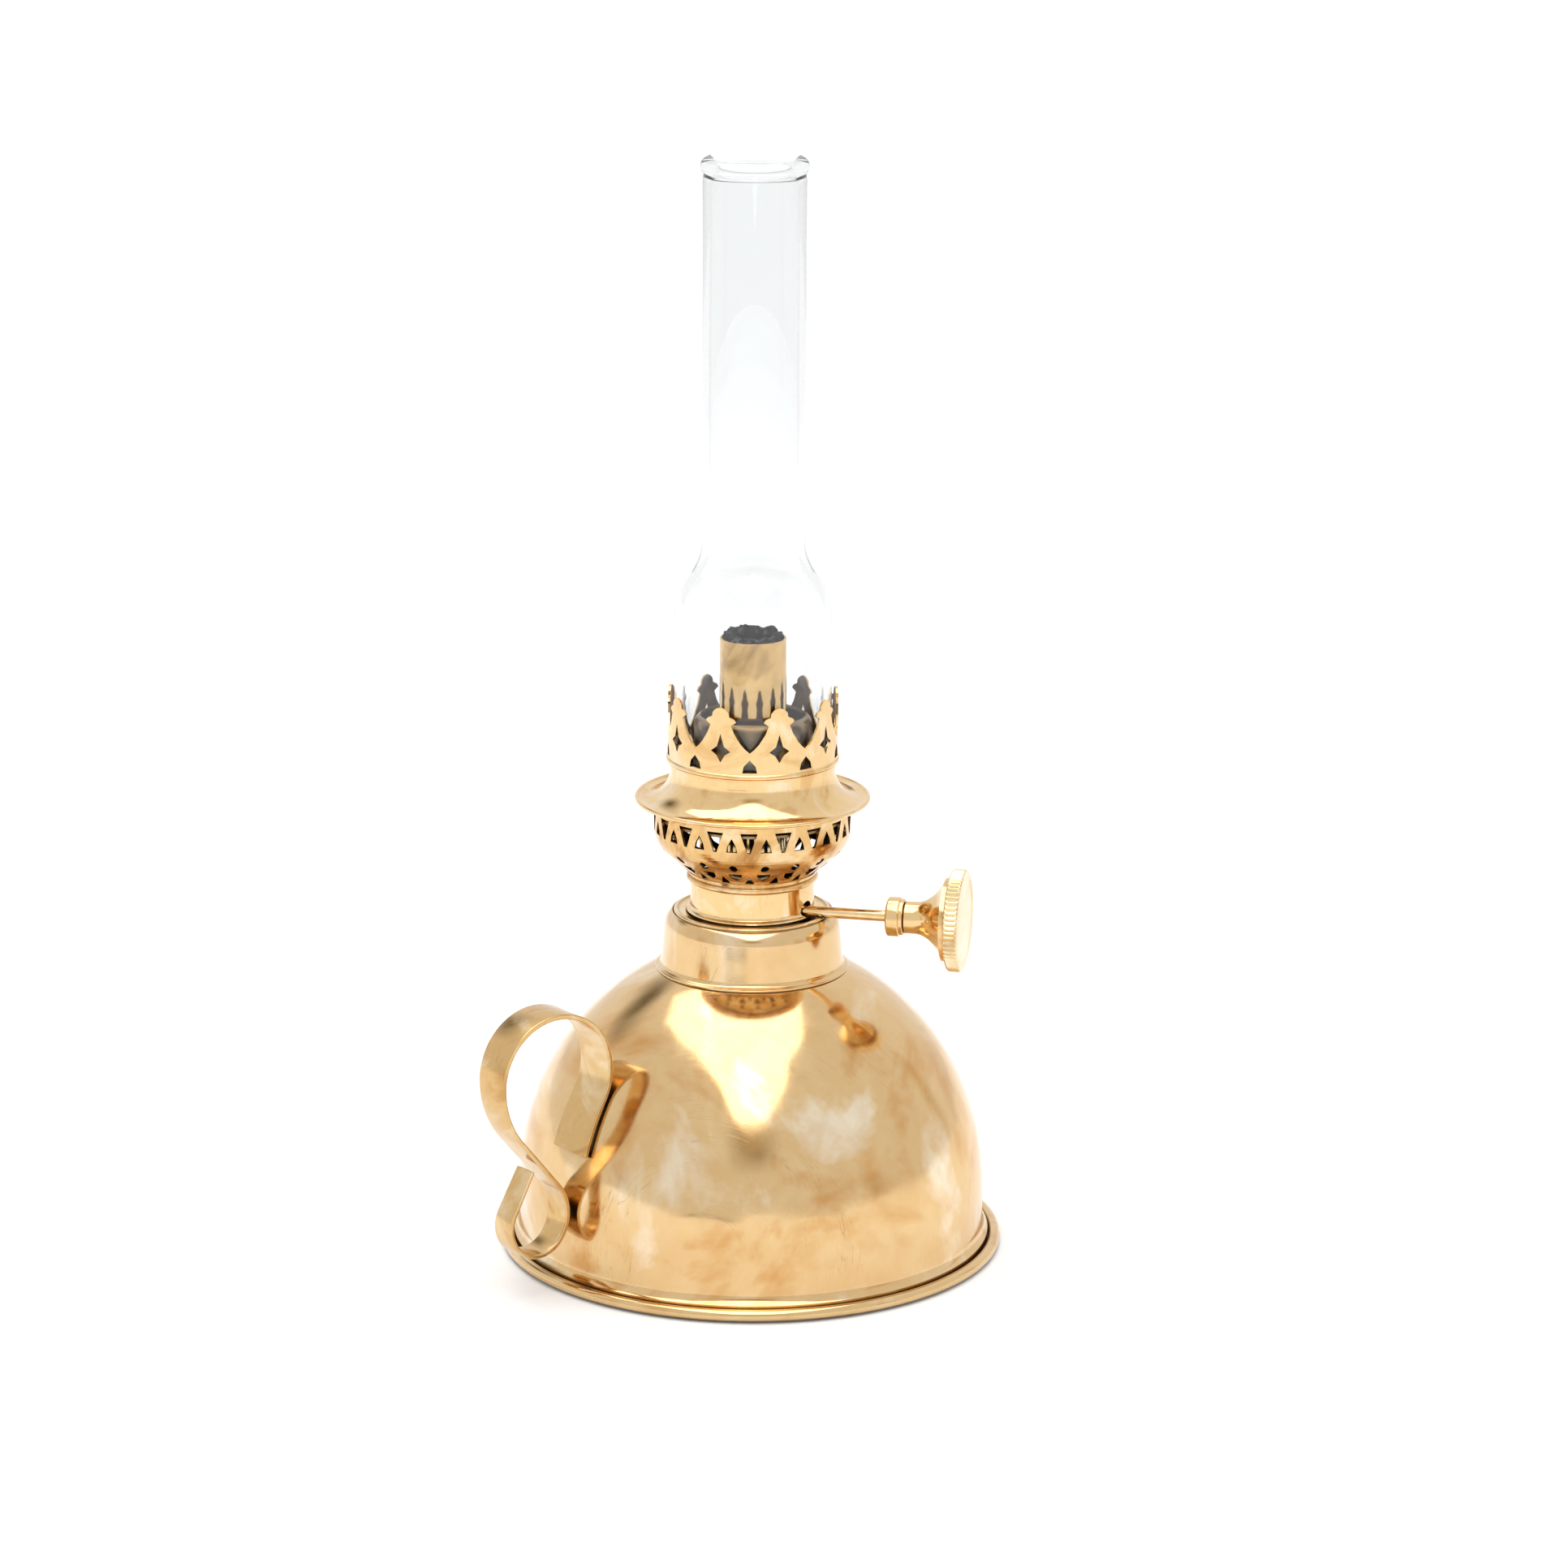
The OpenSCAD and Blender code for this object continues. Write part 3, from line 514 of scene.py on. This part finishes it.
body_r = COLLAR_R - 1.8
MOUTH, ROUND, COLLAR_WALL = 1.7, 4.0, 1.2     # the shoulder's width, its radius, the wall
turn = math.degrees(math.acos(1 - MOUTH / ROUND))
collar = [(COLLAR_R - 0.22, COLLAR_Z + 0.02)] + arc(COLLAR_R - 0.28, COLLAR_Z + 0.3, 0.28, -80, 82, 8)
collar += arc(COLLAR_R, COLLAR_Z + 1.8, 1.2, 256, 184, 14)
collar += arc(body_r - ROUND, COLLAR_TOP - ROUND * math.sin(math.radians(turn)), ROUND, 4, turn, 24)
collar += soft([(LIP_R + 0.45, COLLAR_TOP, 0.12), (LIP_R + 0.2, COLLAR_TOP - 0.1, 0.1),
                (LIP_R + 0.2, COLLAR_TOP - 1), (body_r - COLLAR_WALL, COLLAR_TOP - MOUTH),
                (body_r - COLLAR_WALL, COLLAR_Z + 1.6)], closed=False)
stands_for(turned("spun_collar", collar, 320), "font", "font_collar")


# handle: a flat strip bent along a chain of arcs, tapered from the soldered tail to the free end
HANDLE_ANGLE = math.radians(230)
HANDLE_Z, TAIL = 28, 12.2           # height of the soldered end, length of strip on the dome
STRIP_T, STRIP_TAIL_W, STRIP_END_W = 1.0, 10.8, 5.0
RING_R = 12.8
LOW_Z, LOW_GAP = 16.5, 0.67         # where the strip comes closest to the font
CURL_HEADING, CURL_R, CURL_TURN, CURL_END = -56, 6.5, 175, 9.5
path_r = DOME_R + 0.15 + STRIP_T / 2
start = math.degrees(math.asin((HANDLE_Z - WALL_H) / path_r))
tail = math.degrees(TAIL / path_r)
at = math.radians(start + tail)
ring_c = Vector((DOME_X + (path_r + RING_R) * math.cos(at), WALL_H + (path_r + RING_R) * math.sin(at)))
out_r, in_r = (ring_c.y - LOW_Z) * 0.65, (ring_c.y - LOW_Z) * 0.31
s_line = Vector((FONT_R + LOW_GAP + STRIP_T / 2 + in_r, LOW_Z)) - ring_c - Vector((RING_R - out_r, 0))
s_heading = math.degrees(math.atan2(s_line.y, s_line.x) - math.asin((out_r + in_r) / s_line.length))
s_length = math.sqrt(s_line.length ** 2 - (out_r + in_r) ** 2)
bends = [(path_r, tail), (RING_R, -180 - start - tail), (out_r, s_heading + 90), (0, s_length),
         (in_r, CURL_HEADING - s_heading), (CURL_R, CURL_TURN), (0, CURL_END)]


def strip_path():
    """Points (x, z, heading, length so far) along the bends, from the soldered end."""
    x, z = DOME_X + path_r * math.cos(math.radians(start)), WALL_H + path_r * math.sin(math.radians(start))
    heading, length = math.radians(90 + start), 0.0
    out = [(x, z, heading, length)]
    for r, turn in bends:
        n = 8 if r == 0 else max(6, int(abs(turn) / 2.5))
        for _ in range(n):
            d = 0 if r == 0 else math.radians(turn) / n
            chord = turn / n if r == 0 else 2 * r * math.sin(abs(d) / 2)
            x += chord * math.cos(heading + d / 2)
            z += chord * math.sin(heading + d / 2)
            heading += d
            length += turn / n if r == 0 else r * abs(d)
            out.append((x, z, heading, length))
    return out


path = strip_path()
total = path[-1][3]
verts, faces, loop = [], [], 0
stations = [(path[0], 0.22)] + [(p, 0.0) for p in path] + [(path[-1], 0.22)]
for s, ((x, z, h, length), inset) in enumerate(stations):
    if s == 1 or s == len(stations) - 2:
        shift = 0.12 if s == 1 else -0.12
        x, z = x + shift * math.cos(h), z + shift * math.sin(h)
    w = (STRIP_TAIL_W + (STRIP_END_W - STRIP_TAIL_W) * length / total) / 2 - inset
    t = STRIP_T / 2 - inset
    # an uneven edge, as hand-cut strip has
    edge = 0.05 * noise.noise(Vector((length * 0.25, 3, 0)))
    section = soft([(w - abs(edge), t, 0.22), (-w, t, 0.22), (-w, -t, 0.22), (w - abs(edge), -t, 0.22)], 4)
    loop = len(section)
    for a, b in section:
        px, pz = x - b * math.sin(h), z + b * math.cos(h)
        verts.append((px * math.cos(HANDLE_ANGLE) - a * math.sin(HANDLE_ANGLE),
                      px * math.sin(HANDLE_ANGLE) + a * math.cos(HANDLE_ANGLE), pz))
count = len(stations)
for s in range(count - 1):
    for k in range(loop):
        m = (k + 1) % loop
        faces.append((s * loop + k, s * loop + m, (s + 1) * loop + m, (s + 1) * loop + k))
faces.append(tuple(range(loop)))
faces.append(tuple(range((count - 1) * loop, count * loop))[::-1])
stands_for(build("bent_handle", verts, faces, 50), "font", "handle_strip")


# ---------------------------------------------------------------- burner
lip = [(NECK_FOOT_R - 0.7, LIP_TOP), (LIP_R - 1.3, LIP_TOP)]
lip += arc(LIP_R - 0.55, LIP_TOP - 0.25, 0.55, 128, -90, 24)
lip += [(NECK_FOOT_R - 0.7, LIP_TOP - 0.8)]
stands_for(turned("beaded_lip", lip, 256), "burner_thread", "burner_lip")

neck_r = NECK_FOOT_R - 0.9
shelf = LIP_TOP + 0.2
line = [(neck_r, NECK_Z), (neck_r, shelf - 0.02), (NECK_FOOT_R - 0.1, shelf), (NECK_FOOT_R, shelf + 0.12)]
line += arc(NECK_FOOT_R, shelf + 1.25, 0.9, 262, 182, 12) + [(neck_r, NECK_TOP)]
neck = turned("flared_neck", line + [(neck_r - SHEET, NECK_TOP), (neck_r - SHEET, NECK_Z)], 256)
hole = turned("cutter", [(0, 0), (2.1, 0), (2.1, 20), (0, 20)], 48, place=along_x(0))
carve(neck, [hole])
stands_for(neck, "burner", "burner_neck")

shade_r = 11.8
line = [(shade_r, PLATE_Z + SHEET)] + arc(shade_r - 1.5, DEFLECTOR_TOP - 1.5, 1.5, 0, 80, 14)
skin = wall(line, SHEET)
plate = [(PLATE_R, PLATE_Z), (PLATE_R, PLATE_Z + SHEET)]
shade = turned("deflector", plate + skin + [(shade_r - SHEET, PLATE_Z)], 256)
HOLES, HOLE_R = 16, 1.4
drill = [(0, PLATE_Z - 1), (HOLE_R, PLATE_Z - 1), (HOLE_R, PLATE_Z + 2), (0, PLATE_Z + 2)]
mid = (PLATE_R + shade_r) / 2
holes = []
for i in range(HOLES):
    a = 2 * math.pi * i / HOLES
    spot = Matrix.Translation((mid * math.cos(a), mid * math.sin(a), 0))
    holes.append(turned("cutter", drill, 24, place=spot))
carve(shade, holes)
stands_for(shade, "burner", "deflector_ring")

bore = TUBE_R - 0.45
tube = soft([(TUBE_R, TUBE_Z), (TUBE_R, TUBE_TOP, 0.2), (bore, TUBE_TOP, 0.2), (bore, TUBE_Z)])
tube = turned("wick_tube_drawn", tube, 192)
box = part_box("wick_wheels")
lo, hi = box[0] / MM, box[1] / MM
duct_lo, duct_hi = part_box("air_duct")[0] / MM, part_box("air_duct")[1] / MM
carve(tube, [block((-9, -9, lo.z - 0.6), (9, -1.5, hi.z + 0.6)),
             block((duct_lo.x - 0.1, 0, duct_lo.z - 0.3), (duct_hi.x + 0.1, 9, duct_hi.z + 0.3))])
stands_for(tube, "burner", "wick_tube")


# ---------------------------------------------------------------- wick
# a flat tail widens into a charred ring
lo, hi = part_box("wick")[0] / MM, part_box("wick")[1] / MM
ring_z = duct_lo.z - 9.6
flat_top = ring_z - 2
steps = 160
flat_w, flat_y0, flat_y1 = 10.6, -1.05, 1.85
levels = [WICK_Z + (flat_top - WICK_Z) * i / 40 for i in range(41)]
levels += [flat_top + 2 * i / 8 for i in range(1, 9)]
levels += [ring_z + (WICK_TOP - ring_z) * i / 60 for i in range(1, 61)]
bore = WICK_R - 1.4


def flat_radius(a):
    """Distance from the axis to the flat tail's outline in direction a."""
    c, s = math.cos(a), math.sin(a)
    edge = flat_y1 if s > 0 else -flat_y0
    return 1 / ((abs(c) / (flat_w / 2)) ** 5 + (abs(s) / edge) ** 5) ** 0.2


verts, faces = [], []
rows = []


def wick_row(z, inner=False, ragged=0.0):
    row = []
    for k in range(steps):
        a = 2 * math.pi * k / steps
        mix = max(0.0, min(1.0, (z - flat_top) / 2))
        r = bore if inner else flat_radius(a) * (1 - mix) + WICK_R * mix
        fuzz = 0.10 * noise.noise(Vector((math.cos(a) * 9, math.sin(a) * 9, z * 2.2)))
        r += (fuzz - 0.1) if not inner else -fuzz * 0.5
        zz = z
        if ragged:
            torn = noise.noise(Vector((math.cos(a) * 3.1, math.sin(a) * 3.1, 5))) * 0.8
            torn += noise.noise(Vector((math.cos(a) * 14, math.sin(a) * 14, 1))) * 0.4
            zz = z - ragged * max(0.0, 0.45 + torn)
        row.append(len(verts))
        verts.append((r * math.cos(a), r * math.sin(a), zz))
    rows.append(row)


for z in levels:
    near = max(0.0, 1 - (WICK_TOP - z) / 2.5)
    wick_row(z - 0.1 * near, ragged=0.9 * near)
for i in range(24):
    z = WICK_TOP - (WICK_TOP - ring_z - 0.1) * i / 23
    near = max(0.0, 1 - (WICK_TOP - z) / 2.5)
    wick_row(z - 0.1 * near, True, ragged=0.9 * near)
for a, b in zip(rows, rows[1:]):
    for k in range(steps):
        m = (k + 1) % steps
        faces.append((a[k], a[m], b[m], b[k]))
faces.append(tuple(rows[0]))
faces.append(tuple(rows[-1]))
wick = build("woven_wick", verts, faces, 60)
slot_w = (duct_hi.x - duct_lo.x) / 2 + 0.3
carve(wick, [block((-slot_w, 0, ring_z + 0.05), (slot_w, 9, duct_hi.z + 7.1))], 60)
stands_for(wick, "wick", "wick")


# ---------------------------------------------------------------- knob
x0, x1 = B["knob_ferrule"][0].x / MM, B["knob_ferrule"][1].x / MM
fr = (B["knob_ferrule"][1].y - B["knob_ferrule"][0].y) / 2 / MM
shaft_r = (B["winder_shaft"][1].z - B["winder_shaft"][0].z) / 2 / MM
n = x1 - x0
ferrule = soft([(shaft_r, 0), (fr - 0.35, 0, 0.1), (fr, 0.3, 0.2), (fr, n - 1.0, 0.15),
                (fr - 0.12, n - 0.85, 0.05), (fr - 0.35, n - 0.8, 0.05), (fr - 0.3, n - 0.1, 0.15),
                (fr - 0.5, n, 0.1), (shaft_r, n)])
stands_for(turned("ringed_ferrule", ferrule, 128, place=along_x(x0)), "winder", "knob_ferrule")

x0, x1 = B["knob_hub"][0].x / MM, B["knob_hub"][1].x / MM
mouth = (B["knob_hub"][1].y - B["knob_hub"][0].y) / 2 / MM
n = x1 - x0
throat = 3.3
horn = [(shaft_r, 0), (throat - 0.15, 0), (throat, 0.2), (throat, 2)]
horn += [(throat + (mouth - throat) * (i / 24) ** 2.2, 2 + (n - 3) * i / 24) for i in range(1, 25)]
horn += [(mouth, n - 0.9), (mouth - 0.1, n), (shaft_r, n)]
stands_for(turned("trumpet_hub", horn, 160, place=along_x(x0)), "winder", "knob_hub")

x0, x1 = B["knob_disc"][0].x / MM, B["knob_disc"][1].x / MM
disc_r = (B["knob_disc"][1].y - B["knob_disc"][0].y) / 2 / MM
n = x1 - x0
RIDGES = 60


def knurl(r, z, a):
    """Ridges across the disc's edge that fade out at its two faces."""
    near_edge = max(0.0, min(1.0, r - disc_r + 1.1))
    off_face = max(0.0, min(1.0, min(z - 0.05, n - z - 0.05) / 0.5))
    depth = near_edge * off_face
    tooth = abs(((a * RIDGES / (2 * math.pi)) % 1) * 2 - 1)
    return r - 0.34 * depth * (1 - tooth ** 0.8), z


face = [(0, 0.02), (disc_r - 1.3, 0.02)] + arc(disc_r - 0.6, 0.62, 0.6, -88, 0, 6)
face += [(disc_r, 0.62 + (n - 1.3) * i / 6) for i in range(1, 7)]
face += arc(disc_r - 0.6, n - 0.62, 0.6, 4, 88, 6)
face += soft([(disc_r - 1.1, n - 0.02), (disc_r - 1.5, n - 0.16, 0.1), (disc_r - 2.4, n - 0.12),
              (0, n - 0.04)], closed=False)
stands_for(turned("knurled_disc", face, RIDGES * 8, 28, knurl, along_x(x0)), "winder", "knob_disc")


# ---------------------------------------------------------------- gallery and chimney
z0, z1 = foot("gallery_flange"), top("gallery_flange")
gallery_z = BASKET_TOP + 0.1
neck_in = GLASS_R + 0.7
ledge = GLASS_Z - SHEET - 0.1
dish = 0.55
edge_r = FLANGE_R - 0.6
hollow = Vector((0.94 * (edge_r - neck_in), ledge - gallery_z - 0.9))
centre = Vector((neck_in, gallery_z + 0.35)) + hollow


def skirt(t, a0, a1):
    """The hollow quarter between flange and neck, t inside its outer face."""
    return [(centre.x + x * (hollow.x + t), centre.y + z * (hollow.y + t))
            for x, z in arc(0, 0, 1, a0, a1, 30)]


flange = arc(FLANGE_R - 0.42, gallery_z + dish + 0.1, 0.42, -100, 165, 18)
line = skirt(0, 260, 180) + [(neck_in, z1)]
under = [(neck_in - SHEET * 0.9, z1)] + skirt(SHEET * 0.9, 180, 260)
flange = turned("dished_flange", flange + line + under, 320)
sleeve = turned("seat_ring", soft([(BASKET_R - 0.65, z0, 0.1), (BASKET_R - 0.65, gallery_z + 0.3),
                                   (BASKET_R - 1.15, gallery_z + 0.3), (BASKET_R - 1.15, z0, 0.1)]), 192)
stands_for(flange, "gallery", "gallery_flange")
sleeve.data.materials.append(M["burner_brass"])
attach(sleeve, "gallery")
shelf = turned("glass_seat", soft([(neck_in - 0.2, ledge), (neck_in - 0.2, ledge + SHEET, 0.1),
                                   (GLASS_R - 2.6, ledge + SHEET, 0.2), (GLASS_R - 2.6, ledge, 0.2)]), 192)
shelf.data.materials.append(M["burner_brass"])
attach(shelf, "gallery")

# two equal arcs make the S between the wide foot and the tube
foot_r, tube_r = GLASS_R - 0.15, 10.35
glass_t, bead = 1.6, 1.75
shoulder, fall = GLASS_Z + 31, 15.5
turn = 2 * math.degrees(math.atan((foot_r - tube_r) / fall))
s_r = fall / (2 * math.sin(math.radians(turn)))
outer = arc(GLASS_R - 0.5, GLASS_Z + 0.5, 0.5, -90, 0, 6) + [(foot_r, GLASS_Z + 20)]
outer += arc(foot_r - s_r, shoulder, s_r, 0, turn, 30)
outer += arc(tube_r + s_r, shoulder + fall, s_r, 180 + turn, 180, 30)[1:]
outer += [(tube_r, GLASS_TOP - 4.2)] + arc(tube_r + 0.5 - bead, GLASS_TOP - bead, bead, -52, 232, 40)
inner = [(tube_r - glass_t, GLASS_TOP - 4.4)]
inner += arc(tube_r + s_r, shoulder + fall, s_r + glass_t, 180, 180 + turn, 30)
inner += arc(foot_r - s_r, shoulder, s_r - glass_t, turn, 0, 30)[1:]
inner += [(foot_r - glass_t, GLASS_Z + 20)]
inner += arc(GLASS_R - glass_t + 0.5, GLASS_Z + 0.5, 0.5, 180, 270, 6)
stands_for(turned("blown_chimney", outer + inner, 256, 40), "chimney", "glass_chimney")


# ---------------------------------------------------------------- stage: floor, cards and lights
bpy.context.scene.view_settings.view_transform = "Standard"
LOOK = Matrix.Rotation(VIEW_AZIMUTH, 4, "Z")        # x to the right of the view, y away from it


def card(name, points, colour, emission=0.0, hidden=True):
    """A flat card in the view's own directions, in metres from the lamp's foot."""
    mesh = bpy.data.meshes.new(name)
    mesh.from_pydata([LOOK @ Vector(p) for p in points], [], [tuple(range(len(points)))])
    obj = bpy.data.objects.new(name, mesh)
    bpy.context.scene.collection.objects.link(obj)
    t = Tree(name)
    s = t.shader
    tone = t.ramp(t.noise(2.5, 2), [(0.3, [c * 0.94 for c in colour] + [1]), (0.7, list(colour) + [1])])
    if emission:
        s.inputs["Base Color"].default_value = (0, 0, 0, 1)
        t.link(tone, s.inputs["Emission Color"])
        s.inputs["Emission Strength"].default_value = emission
    else:
        t.link(tone, s.inputs["Base Color"])
    s.inputs["Roughness"].default_value = 0.9
    s.inputs["Specular IOR Level"].default_value = 0.0
    mesh.materials.append(t.material)
    obj.visible_camera = not hidden
    return obj


def shade_card(name, az, el, dist, wide, high, glow, edge=0.25):
    """A card that faces the lamp, az degrees right of straight behind and el degrees up, glowing faintly and
    fading out towards its rim, so that polished metal shows it as a soft dark patch."""
    a, e = math.radians(az), math.radians(el)
    out = Vector((math.sin(a) * math.cos(e), math.cos(a) * math.cos(e), math.sin(e)))
    side = Vector((math.cos(a), -math.sin(a), 0))
    up = side.cross(out)
    mesh = bpy.data.meshes.new(name)
    corners = [(x * wide / 2, y * high / 2, 0) for x, y in ((-1, -1), (1, -1), (1, 1), (-1, 1))]
    mesh.from_pydata(corners, [], [(0, 1, 2, 3)])
    obj = bpy.data.objects.new(name, mesh)
    bpy.context.scene.collection.objects.link(obj)
    basis = Matrix((side, up, out)).transposed().to_4x4()
    obj.matrix_world = LOOK @ Matrix.Translation(out * dist + Vector((0, 0, 0.05))) @ basis
    t = Tree(name)
    x, y, z = t.split()
    across = t.math("SUBTRACT", 1.0, t.math("ABSOLUTE", t.math("DIVIDE", x, wide / 2)))
    along = t.math("SUBTRACT", 1.0, t.math("ABSOLUTE", t.math("DIVIDE", y, high / 2)))
    cover = t.math("MULTIPLY", t.spread(across, 0.0, edge), t.spread(along, 0.0, edge), clamp=True)
    tone = t.ramp(t.noise(3.0, 3, 0.6, 0.8), [(0.35, glow + [1]), (0.65, [c * 1.5 for c in glow] + [1])])
    s = t.shader
    s.inputs["Base Color"].default_value = (0, 0, 0, 1)
    s.inputs["Specular IOR Level"].default_value = 0.0
    s.inputs["Emission Strength"].default_value = 1.0
    t.link(tone, s.inputs["Emission Color"])
    t.link(cover, s.inputs["Alpha"])
    mesh.materials.append(t.material)
    obj.visible_camera = False
    obj.visible_diffuse = False
    obj.visible_shadow = False
    obj.visible_transmission = False
    return obj


floor = card("floor", [(4 * math.cos(math.tau * i / 64), 4 * math.sin(math.tau * i / 64), -0.0002)
                       for i in range(64)], (0.88, 0.88, 0.88), hidden=False)
# the floor grows brighter away from the lamp, as an overexposed white sweep does
sweep = floor.data.materials[0].node_tree
sweep.nodes["Principled BSDF"].inputs["Emission Color"].default_value = (1, 1, 1, 1)
away = sweep.nodes.new("ShaderNodeVectorMath")
away.operation = "LENGTH"
sweep.links.new(sweep.nodes["Texture Coordinate"].outputs["Object"], away.inputs[0])
glow = sweep.nodes.new("ShaderNodeMapRange")
for key, value in (("From Min", 0.2), ("From Max", 1.2), ("To Min", 0.04), ("To Max", 0.24)):
    glow.inputs[key].default_value = value
sweep.links.new(away.outputs["Value"], glow.inputs["Value"])
sweep.links.new(glow.outputs[0], sweep.nodes["Principled BSDF"].inputs["Emission Strength"])
# a large kite-shaped soft box overhead, with its point towards the camera
card("soft_box", [(0.0, -1.6, 1.0), (0.20, -1.1, 1.0), (0.34, -0.5, 1.0), (0.38, 0.0, 1.0), (0.34, 0.38, 1.0),
                  (-0.54, 0.6, 1.0), (-0.68, 0.3, 1.0), (-0.56, -0.05, 1.0), (-0.39, -0.42, 1.0),
                  (-0.27, -0.9, 1.0)], (1, 1, 1), 3.0)
# dim patches round the room that give the polished brass its streaks
shade_card("front_gap", 180, 30, 1.45, 0.75, 0.7, [0.42, 0.36, 0.26], 0.75)
shade_card("back_left", -40, 33, 1.4, 1.1, 0.55, [0.12, 0.10, 0.06], 0.9)
shade_card("right_edge", 118, 8, 1.3, 0.34, 0.9, [0.62, 0.52, 0.40], 0.9)
shade_card("left_edge", -112, 8, 1.3, 0.34, 0.9, [0.60, 0.50, 0.38], 0.9)
shade_card("right_back", 62, 14, 1.5, 0.26, 1.0, [0.60, 0.50, 0.36], 0.9)
shade_card("front_low", 200, -6.5, 0.52, 0.34, 0.05, [0.05, 0.04, 0.02], 0.5)

world = bpy.data.worlds.new("studio")
bpy.context.scene.world = world
world.use_nodes = True
tree = world.node_tree
coord = tree.nodes.new("ShaderNodeTexCoord")
turn = tree.nodes.new("ShaderNodeMapping")
turn.inputs["Rotation"].default_value = (0, 0, -VIEW_AZIMUTH)
tree.links.new(coord.outputs["Generated"], turn.inputs["Vector"])
sep = tree.nodes.new("ShaderNodeSeparateXYZ")
tree.links.new(turn.outputs[0], sep.inputs[0])
# white behind the lamp, a little greyer at the sides and front
shade_map = tree.nodes.new("ShaderNodeMapRange")
shade_map.interpolation_type = "SMOOTHSTEP"
tree.links.new(sep.outputs["Y"], shade_map.inputs["Value"])
for key, value in (("From Min", 0.0), ("From Max", 0.85), ("To Min", 0.92), ("To Max", 1.0)):
    shade_map.inputs[key].default_value = value
bg = tree.nodes["Background"]
tree.links.new(shade_map.outputs[0], bg.inputs["Color"])
bg.inputs["Strength"].default_value = 1.0
